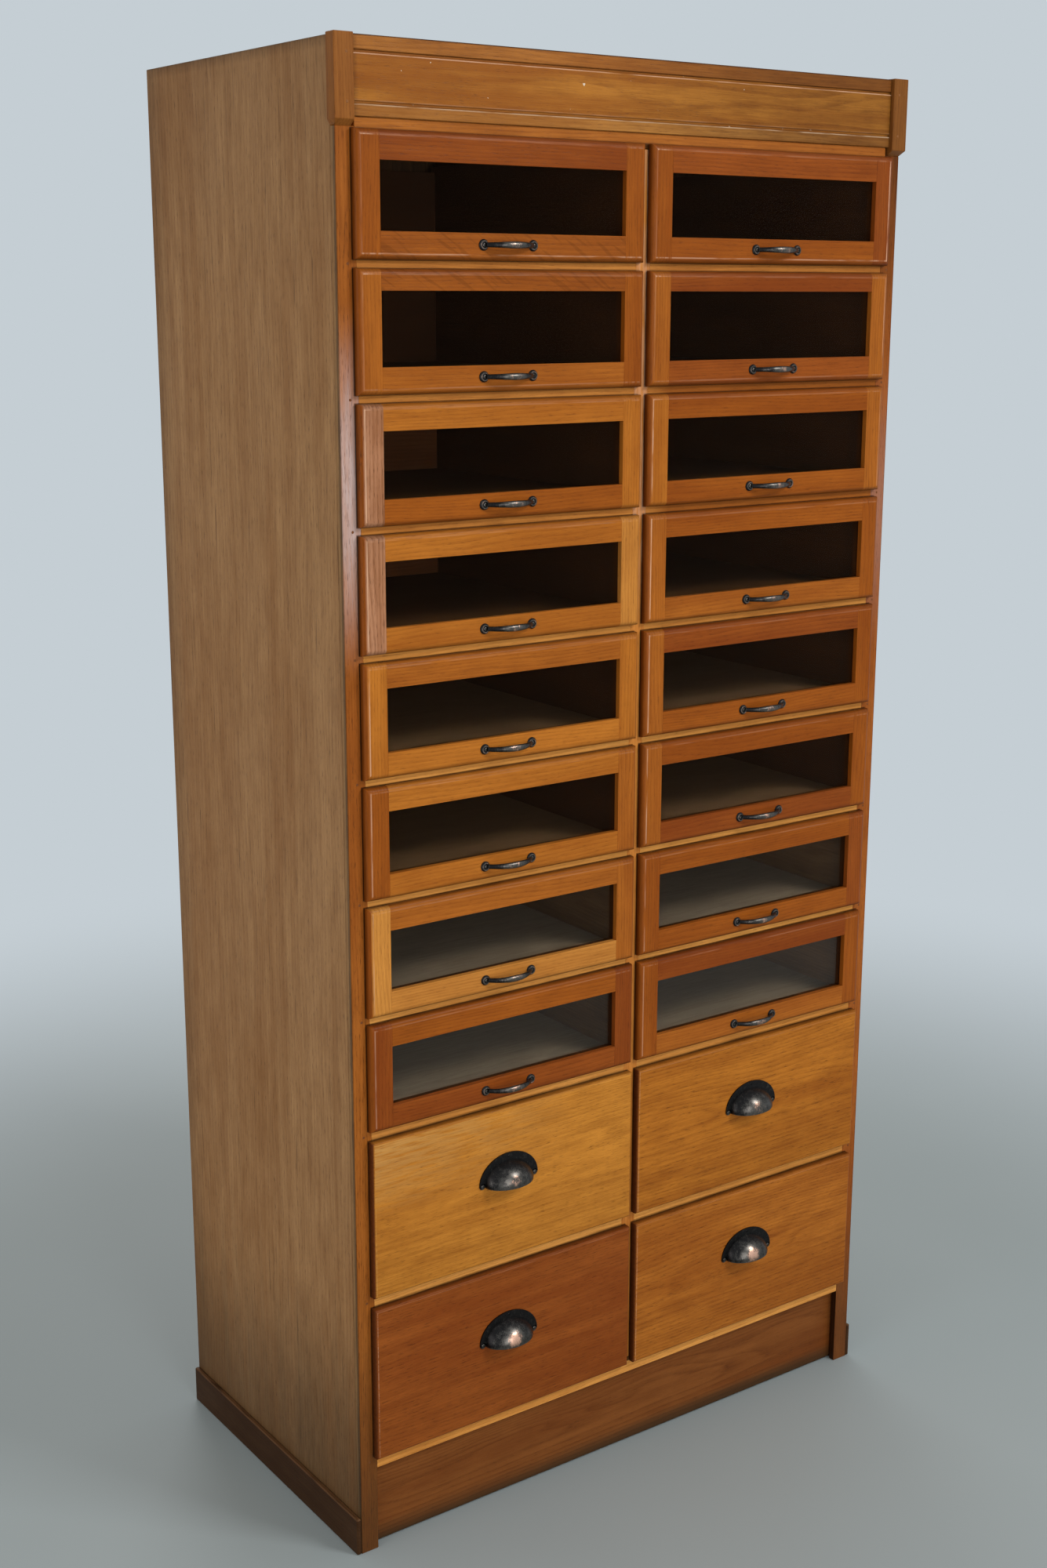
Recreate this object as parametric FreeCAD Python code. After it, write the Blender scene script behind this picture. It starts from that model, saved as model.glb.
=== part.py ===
"""Haberdashery cabinet: sixteen glazed drawers over four plain drawers in an oak carcass.

Frame: +Z up, the front looks along -Y, the origin is on the floor under the middle of the whole
object, pulls included. Millimetres throughout. "Depth" below is measured backwards from the face
of the front stiles, so a negative depth is in front of that face.
"""
import FreeCAD, Part
import os

# ---- carcass --------------------------------------------------------------------------------
WIDTH = 925.0               # over the outer faces of the side panels
DEPTH = 496.0               # face of the stiles to the back of the side panels
SIDE_HEIGHT = 1990.0        # floor to the top of the side panels
SIDE_THICKNESS = 18.0
HOUSING_DEPTH = 6.0         # how far rails and boards are let into the side panels

STILE_WIDTH = 27.0
STILE_THICKNESS = 10.0
MUNTIN_WIDTH = 23.0
MUNTIN_THICKNESS = 22.0
MUNTIN_TOP_JOINT = 0.8      # open joint between muntin and top rail

PLINTH_HEIGHT = 125.0       # floor to the underside of the bottom rail
PLINTH_SETBACK = 13.0
PLINTH_THICKNESS = 16.0
PLINTH_FLOOR_GAP = 2.0

RAIL_DEPTH = 45.0
BOTTOM_RAIL = 25.0          # rail heights, as seen from the front
PLAIN_RAIL = 29.0
MIDDLE_RAIL = 26.0
GLAZED_RAIL = 22.0
TOP_RAIL = 19.0

GLAZED_ROWS = 8
PLAIN_ROWS = 2
PLAIN_OPENING = 213.0       # clear height between rails; the glazed rows share the rest

FRIEZE_PROUD = 3.0
FRIEZE_RISE = 1.0           # above the side panels
FRIEZE_BOTTOM_STRIP = 14.0
FRIEZE_PANEL = 60.0
FRIEZE_TOP_STRIP = 17.0
BEAD_WIDTH = 3.4            # scratched bead along each frieze joint
BEAD_DEPTH = 2.0

CAPITAL_WIDTH = 27.0
CAPITAL_PROUD = 9.0         # in front of the stile
CAPITAL_SIDE_PROUD = 4.0    # beyond the side panel
CAPITAL_RISE = 2.0          # above the side panel
CAPITAL_FOOT_DROP = 11.0    # foot below the top rail's upper face
CAPITAL_FOOT = 7.0          # height of the chamfered foot

TOP_BOARD = 18.0
BOTTOM_BOARD = 12.0
PARTITION = 12.0
BACK_BOARD = 8.0
BACK_REBATE = 9.0           # width of the rebate in each side panel
BACK_BOARDS = 6
BACK_FLOOR_GAP = 20.0

RUNNER_LEDGE = 14.0         # how far a runner reaches under a drawer
RUNNER_THICKNESS = 16.0
GUIDE_HEIGHT = 18.0

SKIRTING_HEIGHT = 55.0
SKIRTING_THICKNESS = 7.0

NAIL_DIAMETER = 3.6
NAIL_LENGTH = 8.0
NAIL_SUNK = 0.2
NAIL_INSET = 15.0           # outer edge of the stile to the nails
CAPITAL_NAIL_INSET = 13.0
CAPITAL_NAIL_FROM_TOP = 22.0
CAPITAL_NAIL_SPACING = 55.0

# ---- drawers --------------------------------------------------------------------------------
LIP = 6.0                   # overlap of a drawer front on the wood around its opening
FRONT_THICKNESS = 22.0
FRONT_PROUD = 12.0          # face of a drawer front in front of the stile
CLOSE_GAP = 1.5             # back of the lip to the stile when the drawer is shut
EDGE_ROUND = 7.0            # face edges of a glazed front
SLAB_EDGE_ROUND = 3.5       # face edges of a plain front
SIDE_CLEARANCE = 1.5        # drawer to opening, each side
TOP_CLEARANCE = 2.5
RUNNER_CLEARANCE = 0.3      # drawer above its runner
DRAWER_SIDE = 12.0
DRAWER_BACK = 10.0
DRAWER_BACK_DROP = 8.0      # back lower than the sides
DRAWER_BOTTOM = 5.0
BOTTOM_GROOVE = 5.0         # depth of the groove in sides and front
BOTTOM_RAISE = 9.0          # groove above the lower edge of the side
SIDE_LAP = 6.0              # sides let into the back of the front
DRAWER_END_CLEARANCE = 18.0     # drawer to back boards when shut

MEMBER = 33.0               # width of the parts of a glazed front
ROW_ONE_TOP_MEMBER = 35.0   # the two upper rows have odd top members
ROW_TWO_TOP_MEMBER = 26.0
GLASS_SETBACK = 8.0
GLASS = 3.0
GLASS_REBATE = 8.0
GLASS_CLEARANCE = 1.0
BEAD_SECTION = 6.0
BEAD_THICKNESS = 9.0

# ---- bow pull -------------------------------------------------------------------------------
BOW_CENTRES = 75.0          # screw to screw
BOW_ROSETTE = 14.0
BOW_ROSETTE_THICKNESS = 3.0
BOW_REACH = 22.0            # in front of the drawer face
BOW_END_DIAMETER = 6.5
BOW_MIDDLE_DIAMETER = 9.0
BOW_HEIGHT_ON_FRONT = 19.0  # centre line above the lower edge of the front
BOW_SECTIONS = 9

# ---- cup pull -------------------------------------------------------------------------------
CUP_WIDTH = 98.0            # over the screw ears
CUP_HEIGHT = 40.0
CUP_FLANGE = 10.0           # flat border around the shell
CUP_PLATE = 2.0
CUP_REACH = 27.0
CUP_WALL = 2.0
CUP_LIP_DROP = 4.0          # shell below the ears
CUP_EAR = 10.0
CUP_ABOVE_CENTRE = 6.0      # ears above the middle of the front

SCREW_DIAMETER = 3.2
SCREW_HEAD = 6.0
SCREW_HEAD_HEIGHT = 1.2
SCREW_LENGTH = 14.0

CUT_MARGIN = 1.0            # cutting shapes run on past the surface they open

# ---- derived places -------------------------------------------------------------------------
half_width = WIDTH / 2
stile_edge = half_width - STILE_WIDTH
panel_face = half_width - SIDE_THICKNESS
muntin_edge = MUNTIN_WIDTH / 2
opening_width = stile_edge - muntin_edge
column_centre = (stile_edge + muntin_edge) / 2
pull_reach = FRONT_PROUD + max(BOW_REACH, CUP_REACH)
face_y = (pull_reach - DEPTH) / 2           # the stile face, so that Y = 0 is mid-depth
back_boards_depth = DEPTH - BACK_BOARD
capital_edge = half_width + CAPITAL_SIDE_PROUD - CAPITAL_WIDTH
rows = GLAZED_ROWS + PLAIN_ROWS
frieze_height = FRIEZE_BOTTOM_STRIP + FRIEZE_PANEL + FRIEZE_TOP_STRIP
top_rail_face = SIDE_HEIGHT + FRIEZE_RISE - frieze_height
inner_rails = PLAIN_RAIL * (PLAIN_ROWS - 1) + MIDDLE_RAIL + GLAZED_RAIL * (GLAZED_ROWS - 1)
drawer_space = top_rail_face - TOP_RAIL - inner_rails - BOTTOM_RAIL - PLINTH_HEIGHT
glazed_opening = (drawer_space - PLAIN_OPENING * PLAIN_ROWS) / GLAZED_ROWS


def box(x0, x1, d0, d1, z0, z1):
    """A box from its limits in X, in depth behind the stile face, and in Z."""
    corner = FreeCAD.Vector(x0, face_y + d0, z0)
    return Part.makeBox(x1 - x0, d1 - d0, z1 - z0, corner)


def rod(diameter, x, z, d0, d1):
    """A round rod that runs straight back from depth d0 to depth d1."""
    start = FreeCAD.Vector(x, face_y + d0, z)
    return Part.makeCylinder(diameter / 2, d1 - d0, start, FreeCAD.Vector(0, 1, 0))


def hole(diameter, x, z, d0, d1):
    """The cutting rod for a round hole from depth d0 to d1, open at the front."""
    return rod(diameter, x, z, d0 - CUT_MARGIN, d1)


def both_sides(shape):
    """The shape and its mirror image across the middle of the cabinet."""
    return [shape, shape.mirror(FreeCAD.Vector(0, 0, 0), FreeCAD.Vector(1, 0, 0))]


def save(name, solids):
    """Write one node. A single solid stays a solid, several become a group."""
    shape = solids[0] if len(solids) == 1 else Part.makeCompound(solids)
    shape.exportStep(os.path.join("parts", name + ".step"))


def stack_rows():
    """Rails and openings from the floor up: lists of (bottom, top), the top row first."""
    rails = [(PLINTH_HEIGHT, PLINTH_HEIGHT + BOTTOM_RAIL)]
    openings = []
    for row in range(rows, 0, -1):
        low = rails[-1][1]
        high = low + (glazed_opening if row <= GLAZED_ROWS else PLAIN_OPENING)
        openings.append((low, high))
        if row == 1:
            rail = TOP_RAIL
        elif row <= GLAZED_ROWS:
            rail = GLAZED_RAIL
        elif row == GLAZED_ROWS + 1:
            rail = MIDDLE_RAIL
        else:
            rail = PLAIN_RAIL
        rails.append((high, high + rail))
    return rails[::-1], openings[::-1]


rails, openings = stack_rows()
capital_foot = top_rail_face - CAPITAL_FOOT_DROP
top_board_underside = SIDE_HEIGHT - TOP_BOARD
bottom_board_top = openings[-1][0] - RUNNER_THICKNESS


# ---- carcass pieces -------------------------------------------------------------------------
def rail_outline(bottom, top):
    """A rail: its face lies between the stiles, its ends are housed in the side panels."""
    face = box(-stile_edge, stile_edge, 0, STILE_THICKNESS, bottom, top)
    end = panel_face + HOUSING_DEPTH
    body = box(-end, end, STILE_THICKNESS, RAIL_DEPTH, bottom, top)
    return face.fuse(body).removeSplitter()


def top_board_outline():
    end = panel_face + HOUSING_DEPTH
    return box(-end, end, STILE_THICKNESS, back_boards_depth, top_board_underside, SIDE_HEIGHT)


def bottom_board_outline():
    end = panel_face + HOUSING_DEPTH
    low = bottom_board_top - BOTTOM_BOARD
    return box(-end, end, RAIL_DEPTH, back_boards_depth, low, bottom_board_top)


def make_side_panel():
    """The left side panel with its housings and the rebate for the back boards."""
    panel = box(-half_width, -panel_face, STILE_THICKNESS, DEPTH, 0, SIDE_HEIGHT)
    rebate = box(-panel_face - BACK_REBATE, -panel_face, back_boards_depth, DEPTH,
                 BACK_FLOOR_GAP, SIDE_HEIGHT)
    cuts = [rail_outline(bottom, top) for bottom, top in rails]
    cuts += [rebate, top_board_outline(), bottom_board_outline()]
    return panel.cut(cuts)


def nail_heights():
    """One nail at the middle of each rail that a stile meets in full view."""
    return [(bottom + top) / 2 for bottom, top in rails[1:]]


def stile_nails():
    x = -half_width + NAIL_INSET
    return [rod(NAIL_DIAMETER, x, z, NAIL_SUNK, NAIL_LENGTH) for z in nail_heights()]


def capital_nail_heights():
    top = SIDE_HEIGHT + CAPITAL_RISE - CAPITAL_NAIL_FROM_TOP
    return [top, top - CAPITAL_NAIL_SPACING]


def capital_nails():
    x = -half_width + CAPITAL_NAIL_INSET
    start = NAIL_SUNK - CAPITAL_PROUD
    return [rod(NAIL_DIAMETER, x, z, start, NAIL_LENGTH - CAPITAL_PROUD) for z in capital_nail_heights()]


def make_stile():
    stile = box(-half_width, -stile_edge, 0, STILE_THICKNESS, 0, capital_foot)
    x = -half_width + NAIL_INSET
    holes = [hole(NAIL_DIAMETER, x, z, 0, NAIL_LENGTH) for z in nail_heights()]
    return stile.cut(holes)


def make_capital():
    """A block on top of the stile, proud in front and at the side, with a chamfered foot."""
    outer = -half_width - CAPITAL_SIDE_PROUD
    top = SIDE_HEIGHT + CAPITAL_RISE
    shoulder = capital_foot + CAPITAL_FOOT
    block = box(outer, -capital_edge, -CAPITAL_PROUD, STILE_THICKNESS, shoulder, top)
    lower = Part.makePolygon([
        FreeCAD.Vector(-half_width, face_y, capital_foot),
        FreeCAD.Vector(-capital_edge, face_y, capital_foot),
        FreeCAD.Vector(-capital_edge, face_y + STILE_THICKNESS, capital_foot),
        FreeCAD.Vector(-half_width, face_y + STILE_THICKNESS, capital_foot),
        FreeCAD.Vector(-half_width, face_y, capital_foot)])
    upper = Part.makePolygon([
        FreeCAD.Vector(outer, face_y - CAPITAL_PROUD, shoulder),
        FreeCAD.Vector(-capital_edge, face_y - CAPITAL_PROUD, shoulder),
        FreeCAD.Vector(-capital_edge, face_y + STILE_THICKNESS, shoulder),
        FreeCAD.Vector(outer, face_y + STILE_THICKNESS, shoulder),
        FreeCAD.Vector(outer, face_y - CAPITAL_PROUD, shoulder)])
    foot = Part.makeLoft([lower, upper], True, True)
    x = -half_width + CAPITAL_NAIL_INSET
    holes = [hole(NAIL_DIAMETER, x, z, -CAPITAL_PROUD, NAIL_LENGTH - CAPITAL_PROUD)
             for z in capital_nail_heights()]
    return block.fuse(foot).removeSplitter().cut(holes)


def frieze_board(bottom, height):
    return box(-capital_edge, capital_edge, -FRIEZE_PROUD, STILE_THICKNESS, bottom, bottom + height)


def scratch_bead(z, direction):
    """The groove that a scratched bead leaves along one edge of a frieze board."""
    inner = z + direction * BEAD_WIDTH
    return box(-capital_edge, capital_edge, -FRIEZE_PROUD, -FRIEZE_PROUD + BEAD_DEPTH,
               min(z, inner), max(z, inner))


def make_frieze():
    """Bottom strip, panel and top strip; the panel has a scratched groove beside each joint."""
    strip = frieze_board(top_rail_face, FRIEZE_BOTTOM_STRIP)
    panel_low = top_rail_face + FRIEZE_BOTTOM_STRIP
    panel_high = panel_low + FRIEZE_PANEL
    panel = frieze_board(panel_low, FRIEZE_PANEL)
    panel = panel.cut([scratch_bead(panel_low, 1), scratch_bead(panel_high, -1)])
    return strip, panel, frieze_board(panel_high, FRIEZE_TOP_STRIP)


def make_rails():
    """All front rails; those between two rows are notched over the muntin."""
    notch = box(-muntin_edge, muntin_edge, 0, MUNTIN_THICKNESS, rails[-1][1], rails[0][0])
    shapes = [rail_outline(bottom, top) for bottom, top in rails]
    return [shapes[0]] + [shape.cut(notch) for shape in shapes[1:-1]] + [shapes[-1]]


def make_muntin():
    high = rails[0][0] - MUNTIN_TOP_JOINT
    return box(-muntin_edge, muntin_edge, 0, MUNTIN_THICKNESS, rails[-1][1], high)


def make_partition():
    """The board behind the muntin, notched around the rails."""
    board = box(-PARTITION / 2, PARTITION / 2, MUNTIN_THICKNESS, back_boards_depth,
                bottom_board_top, top_board_underside)
    return board.cut([rail_outline(bottom, top) for bottom, top in rails])


def make_runners():
    """A ledge and a guide at each side of each drawer, on both columns."""
    solids = []
    for low, _ in openings:
        for wall, edge, inward in ((-panel_face, -stile_edge, 1), (-PARTITION / 2, -muntin_edge, -1)):
            tip = edge + inward * RUNNER_LEDGE
            ledge = box(min(wall, tip), max(wall, tip), RAIL_DEPTH, back_boards_depth,
                        low - RUNNER_THICKNESS, low)
            guide = box(min(wall, edge), max(wall, edge), RAIL_DEPTH, back_boards_depth,
                        low, low + GUIDE_HEIGHT)
            solids += both_sides(ledge) + both_sides(guide)
    return solids


def make_back_boards():
    """Upright boards side by side in the rebates of the side panels."""
    edge = panel_face + BACK_REBATE
    width = 2 * edge / BACK_BOARDS
    starts = [-edge + i * width for i in range(BACK_BOARDS)]
    return [box(start, start + width, back_boards_depth, DEPTH, BACK_FLOOR_GAP, SIDE_HEIGHT)
            for start in starts]


def make_plinth_board():
    low = PLINTH_FLOOR_GAP
    depth = PLINTH_SETBACK
    return box(-panel_face, panel_face, depth, depth + PLINTH_THICKNESS, low, PLINTH_HEIGHT)


def make_skirting():
    return box(-half_width - SKIRTING_THICKNESS, -half_width, 0, DEPTH, 0, SKIRTING_HEIGHT)


def build_carcass():
    for name, shape in (("side_panel", make_side_panel()), ("stile", make_stile()),
                        ("capital", make_capital()), ("skirting", make_skirting())):
        left, right = both_sides(shape)
        save(name + "_left", [left])
        save(name + "_right", [right])
    bottom_strip, panel, top_strip = make_frieze()
    save("frieze_bottom_strip", [bottom_strip])
    save("frieze_panel", [panel])
    save("frieze_top_strip", [top_strip])
    save("front_rails", make_rails())
    save("muntin", [make_muntin()])
    save("centre_partition", [make_partition()])
    save("drawer_runners", make_runners())
    save("top_board", [top_board_outline()])
    save("bottom_board", [bottom_board_outline()])
    save("back_boards", make_back_boards())
    save("plinth_board", [make_plinth_board()])
    nails = []
    for nail in stile_nails() + capital_nails():
        nails += both_sides(nail)
    save("face_nails", nails)


# ---- pulls ----------------------------------------------------------------------------------
def make_screw(x, z, head_depth):
    """A round-headed wood screw whose head sits on a surface at head_depth."""
    head = rod(SCREW_HEAD, x, z, head_depth - SCREW_HEAD_HEIGHT, head_depth)
    shank = rod(SCREW_DIAMETER, x, z, head_depth, SCREW_LENGTH - FRONT_PROUD)
    return head.fuse(shank).removeSplitter()


def bow_section(share):
    """One round section of the bar: share runs from -1 at one rosette to 1 at the other."""
    span = BOW_CENTRES / 2 - BOW_END_DIAMETER / 2 - SCREW_HEAD / 2
    rise = BOW_REACH - BOW_MIDDLE_DIAMETER / 2 - BOW_END_DIAMETER / 2
    x = span * share
    depth = -FRONT_PROUD - BOW_END_DIAMETER / 2 - rise * (1 - share * share)
    slope = 2 * rise * share / span
    diameter = BOW_MIDDLE_DIAMETER - (BOW_MIDDLE_DIAMETER - BOW_END_DIAMETER) * abs(share)
    centre = FreeCAD.Vector(x, face_y + depth, 0)
    return Part.Wire(Part.Circle(centre, FreeCAD.Vector(1, slope, 0), diameter / 2).toShape())


def make_bow_pull():
    """An arched bar between two screwed rosettes, centred on X = 0 and Z = 0."""
    count = BOW_SECTIONS - 1
    sections = [bow_section(2 * i / count - 1) for i in range(BOW_SECTIONS)]
    pull = Part.makeLoft(sections, True)
    front = -FRONT_PROUD
    holes = []
    screws = []
    for side in (-1, 1):
        x = side * BOW_CENTRES / 2
        pull = pull.fuse(rod(BOW_ROSETTE, x, 0, front - BOW_ROSETTE_THICKNESS, front))
        holes.append(hole(SCREW_DIAMETER, x, 0, front - BOW_REACH, front))
        holes.append(hole(SCREW_HEAD, x, 0, front - BOW_REACH, front - BOW_ROSETTE_THICKNESS))
        screws.append(make_screw(x, 0, front - BOW_ROSETTE_THICKNESS))
    behind = box(-BOW_CENTRES, BOW_CENTRES, front, 0, -BOW_ROSETTE, BOW_ROSETTE)
    return pull.cut(holes + [behind]).removeSplitter(), screws


def ellipsoid(width, reach, height):
    """A solid ellipsoid centred on the drawer face, on the line of the ears."""
    ball = Part.makeSphere(1.0)
    scale = FreeCAD.Matrix()
    scale.scale(width / 2, reach, height)
    body = ball.transformGeometry(scale)
    body.translate(FreeCAD.Vector(0, face_y - FRONT_PROUD, 0))
    return body


def make_cup_pull():
    """A half-dome shell with a flat border and two screw ears; Z = 0 is the line of the ears."""
    front = -FRONT_PROUD
    shell_width = CUP_WIDTH - 2 * CUP_FLANGE
    shell_height = CUP_HEIGHT - CUP_FLANGE
    outer = ellipsoid(shell_width, CUP_REACH, shell_height)
    inner = ellipsoid(shell_width - 2 * CUP_WALL, CUP_REACH - CUP_WALL, shell_height - CUP_WALL)
    kept = box(-CUP_WIDTH, CUP_WIDTH, front - CUP_REACH - CUT_MARGIN, front, -CUP_LIP_DROP, CUP_HEIGHT)
    stretch = FreeCAD.Matrix()
    stretch.scale(1, 1, 2 * CUP_HEIGHT / CUP_WIDTH)
    disc = rod(CUP_WIDTH, 0, 0, front - CUP_PLATE, front).transformGeometry(stretch)
    plate = disc.common(box(-CUP_WIDTH, CUP_WIDTH, front - CUP_PLATE, front, 0, CUP_HEIGHT))
    screw_x = (CUP_WIDTH - CUP_EAR) / 2
    pull = outer.common(kept).fuse(plate)
    for side in (-1, 1):
        pull = pull.fuse(rod(CUP_EAR, side * screw_x, 0, front - CUP_PLATE, front))
    holes = [inner]
    screws = []
    for side in (-1, 1):
        x = side * screw_x
        holes.append(hole(SCREW_DIAMETER, x, 0, front - CUP_REACH, front))
        holes.append(hole(SCREW_HEAD, x, 0, front - CUP_REACH, front - CUP_PLATE))
        screws.append(make_screw(x, 0, front - CUP_PLATE))
    return pull.cut(holes).removeSplitter(), screws


# ---- drawers --------------------------------------------------------------------------------
def front_blank(low, high, edge_round):
    """A lipped drawer front about X = 0, rounded along all four edges of its face."""
    half = opening_width / 2
    lip = box(-half - LIP, half + LIP, -FRONT_PROUD, -CLOSE_GAP, low - LIP, high + LIP)
    face = face_y - FRONT_PROUD
    edges = [edge for edge in lip.Edges if all(vertex.Y < face + edge_round / 2 for vertex in edge.Vertexes)]
    lip = lip.makeFillet(edge_round, edges)
    plug_half = half - SIDE_CLEARANCE
    plug = box(-plug_half, plug_half, -CLOSE_GAP, FRONT_THICKNESS - FRONT_PROUD,
               low + RUNNER_CLEARANCE, high - TOP_CLEARANCE)
    return lip.fuse(plug).removeSplitter()


def drawer_box(low, high):
    """Sides, back and bottom of a drawer about X = 0."""
    outer = opening_width / 2 - SIDE_CLEARANCE
    inner = outer - DRAWER_SIDE
    bottom_edge = low + RUNNER_CLEARANCE
    top_edge = high - TOP_CLEARANCE
    front = FRONT_THICKNESS - FRONT_PROUD - SIDE_LAP
    end = back_boards_depth - DRAWER_END_CLEARANCE
    side = box(-outer, -inner, front, end, bottom_edge, top_edge)
    floor_low = bottom_edge + BOTTOM_RAISE
    floor_high = floor_low + DRAWER_BOTTOM
    floor_front = FRONT_THICKNESS - FRONT_PROUD - BOTTOM_GROOVE
    floor_edge = inner + BOTTOM_GROOVE
    floor = box(-floor_edge, floor_edge, floor_front, end, floor_low, floor_high)
    back = box(-inner, inner, end - DRAWER_BACK, end, floor_high, top_edge - DRAWER_BACK_DROP)
    return both_sides(side.cut(floor)), back, floor


def top_member(row):
    if row == 1:
        return ROW_ONE_TOP_MEMBER
    if row == 2:
        return ROW_TWO_TOP_MEMBER
    return MEMBER


def glazed_front(row, low, high):
    """The four members of a glazed front, its pane and its four beads."""
    half = opening_width / 2 + LIP
    window = (-half + MEMBER, half - MEMBER, low - LIP + MEMBER, high + LIP - top_member(row))
    x0, x1, z0, z1 = window
    blank = front_blank(low, high, EDGE_ROUND)
    back = FRONT_THICKNESS - FRONT_PROUD
    glass_face = GLASS_SETBACK - FRONT_PROUD
    opening = box(x0, x1, -FRONT_PROUD - CUT_MARGIN, back + CUT_MARGIN, z0, z1)
    edge = GLASS_REBATE
    rebate = box(x0 - edge, x1 + edge, glass_face, back + CUT_MARGIN, z0 - edge, z1 + edge)
    frame = blank.cut([opening, rebate])
    bottom = low - LIP
    top = high + LIP
    zones = [box(-half, x0, -FRONT_PROUD, back, bottom, top),
             box(x1, half, -FRONT_PROUD, back, bottom, top),
             box(x0, x1, -FRONT_PROUD, back, z1, top),
             box(x0, x1, -FRONT_PROUD, back, bottom, z0)]
    members = [frame.common(zone) for zone in zones]
    slack = edge - GLASS_CLEARANCE
    glass_back = glass_face + GLASS
    pane = box(x0 - slack, x1 + slack, glass_face, glass_back, z0 - slack, z1 + slack)
    bead_back = glass_back + BEAD_THICKNESS
    beads = []
    for z in (z0 - edge, z1 + edge - BEAD_SECTION):
        beads.append(box(x0 - edge, x1 + edge, glass_back, bead_back, z, z + BEAD_SECTION))
    for x in (x0 - edge, x1 + edge - BEAD_SECTION):
        beads.append(box(x, x + BEAD_SECTION, glass_back, bead_back,
                         z0 - edge + BEAD_SECTION, z1 + edge - BEAD_SECTION))
    return members, pane, beads


def moved(shapes, x, z):
    """Copies of the shapes, shifted across and up."""
    result = []
    for shape in shapes:
        copy = shape.copy()
        copy.translate(FreeCAD.Vector(x, 0, z))
        result.append(copy)
    return result


def screw_holes(centres, z):
    return [hole(SCREW_DIAMETER, x, z, -FRONT_PROUD, SCREW_LENGTH - FRONT_PROUD) for x in centres]


def build_drawer(row, low, high, bow_pull, cup_pull):
    """One row: a left and a right drawer with their pulls."""
    sides, back, floor = drawer_box(low, high)
    if row <= GLAZED_ROWS:
        members, pane, beads = glazed_front(row, low, high)
        pull, screws = bow_pull
        pull_name = "bow_pull"
        pull_z = low - LIP + BOW_HEIGHT_ON_FRONT
        centres = (-BOW_CENTRES / 2, BOW_CENTRES / 2)
    else:
        members, pane, beads = [front_blank(low, high, SLAB_EDGE_ROUND)], None, []
        pull, screws = cup_pull
        pull_name = "cup_pull"
        pull_z = (low + high) / 2 + CUP_ABOVE_CENTRE
        centres = ((CUP_EAR - CUP_WIDTH) / 2, (CUP_WIDTH - CUP_EAR) / 2)
    cuts = sides + [floor] + screw_holes(centres, pull_z)
    solids = [member.cut(cuts) for member in members] + beads + sides + [back, floor]
    if pane:
        solids.append(pane)
    for side, x in (("left", -column_centre), ("right", column_centre)):
        save("drawer_%d_%s" % (row, side), moved(solids, x, 0))
        save("%s_%d_%s" % (pull_name, row, side), moved([pull] + screws, x, pull_z))


def build_drawers():
    bow_pull = make_bow_pull()
    cup_pull = make_cup_pull()
    for number, (low, high) in enumerate(openings, start=1):
        build_drawer(number, low, high, bow_pull, cup_pull)


os.makedirs("parts", exist_ok=True)
build_carcass()
build_drawers()
print("each opening is %.1f mm wide, each drawer front %.1f mm" % (opening_width, opening_width + 2 * LIP))
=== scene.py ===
"""Haberdashery cabinet: an oak carcass with sixteen glazed drawers over four plain ones.

Lengths in the classes are millimetres; every mesh is scaled to metres when it is finished. Depth is
measured backwards from the face of the front stiles, so a negative depth stands in front of it.
"""
import logging
import math
import random
from collections.abc import Callable, Iterable, Sequence
from dataclasses import dataclass, replace
from enum import Enum

import bmesh
import bpy
from bmesh.types import BMEdge, BMesh, BMVert
from mathutils import Matrix, Vector


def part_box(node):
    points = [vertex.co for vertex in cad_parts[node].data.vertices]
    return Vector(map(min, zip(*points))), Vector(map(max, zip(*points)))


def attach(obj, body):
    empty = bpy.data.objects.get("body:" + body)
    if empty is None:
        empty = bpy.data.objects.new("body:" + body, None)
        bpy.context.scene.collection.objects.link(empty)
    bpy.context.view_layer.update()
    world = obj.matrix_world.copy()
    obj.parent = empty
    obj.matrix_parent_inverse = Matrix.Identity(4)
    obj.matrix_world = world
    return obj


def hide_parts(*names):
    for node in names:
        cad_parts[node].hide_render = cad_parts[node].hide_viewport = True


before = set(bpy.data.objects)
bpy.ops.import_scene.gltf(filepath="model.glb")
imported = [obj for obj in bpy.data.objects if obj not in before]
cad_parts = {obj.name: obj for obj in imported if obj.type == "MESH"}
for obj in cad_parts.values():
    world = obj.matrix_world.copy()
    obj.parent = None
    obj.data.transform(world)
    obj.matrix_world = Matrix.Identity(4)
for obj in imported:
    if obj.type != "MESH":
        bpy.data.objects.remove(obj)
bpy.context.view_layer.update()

MM = 0.001
FACE_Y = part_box("stile_left")[0].y / MM
CARCASS_BODY = "carcass"
log = logging.getLogger("cabinet")

Display = tuple[int, int, int]          # red, green and blue from 0 to 255
Mark = Callable[[Vector], float]        # how much of something a point has, from zero to one
Rails = Sequence[tuple[float, float]]   # underside and upper face of each rail, the top rail first


# ---- choices ----------------------------------------------------------------------------------
class Run(Enum):
    """The way a board's grain runs, by the log's two cross axes and the axis along it."""

    ACROSS = (1, 2, 0)
    BACK = (2, 0, 1)
    UP = (0, 1, 2)


class Cut(Enum):
    """How a board was sawn from the log, seen on its show face."""

    STRAIGHT = "straight"
    CROWN = "crown"


class Facing(Enum):
    """The axis that a board's show face looks along."""

    SIDE = 0
    FRONT = 1
    TOP = 2


class Side(Enum):
    """The left or right half of the cabinet, as its sign along X."""

    LEFT = -1
    RIGHT = 1

    @property
    def label(self) -> str:
        """The word that piece names use."""
        return self.name.lower()


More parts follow.
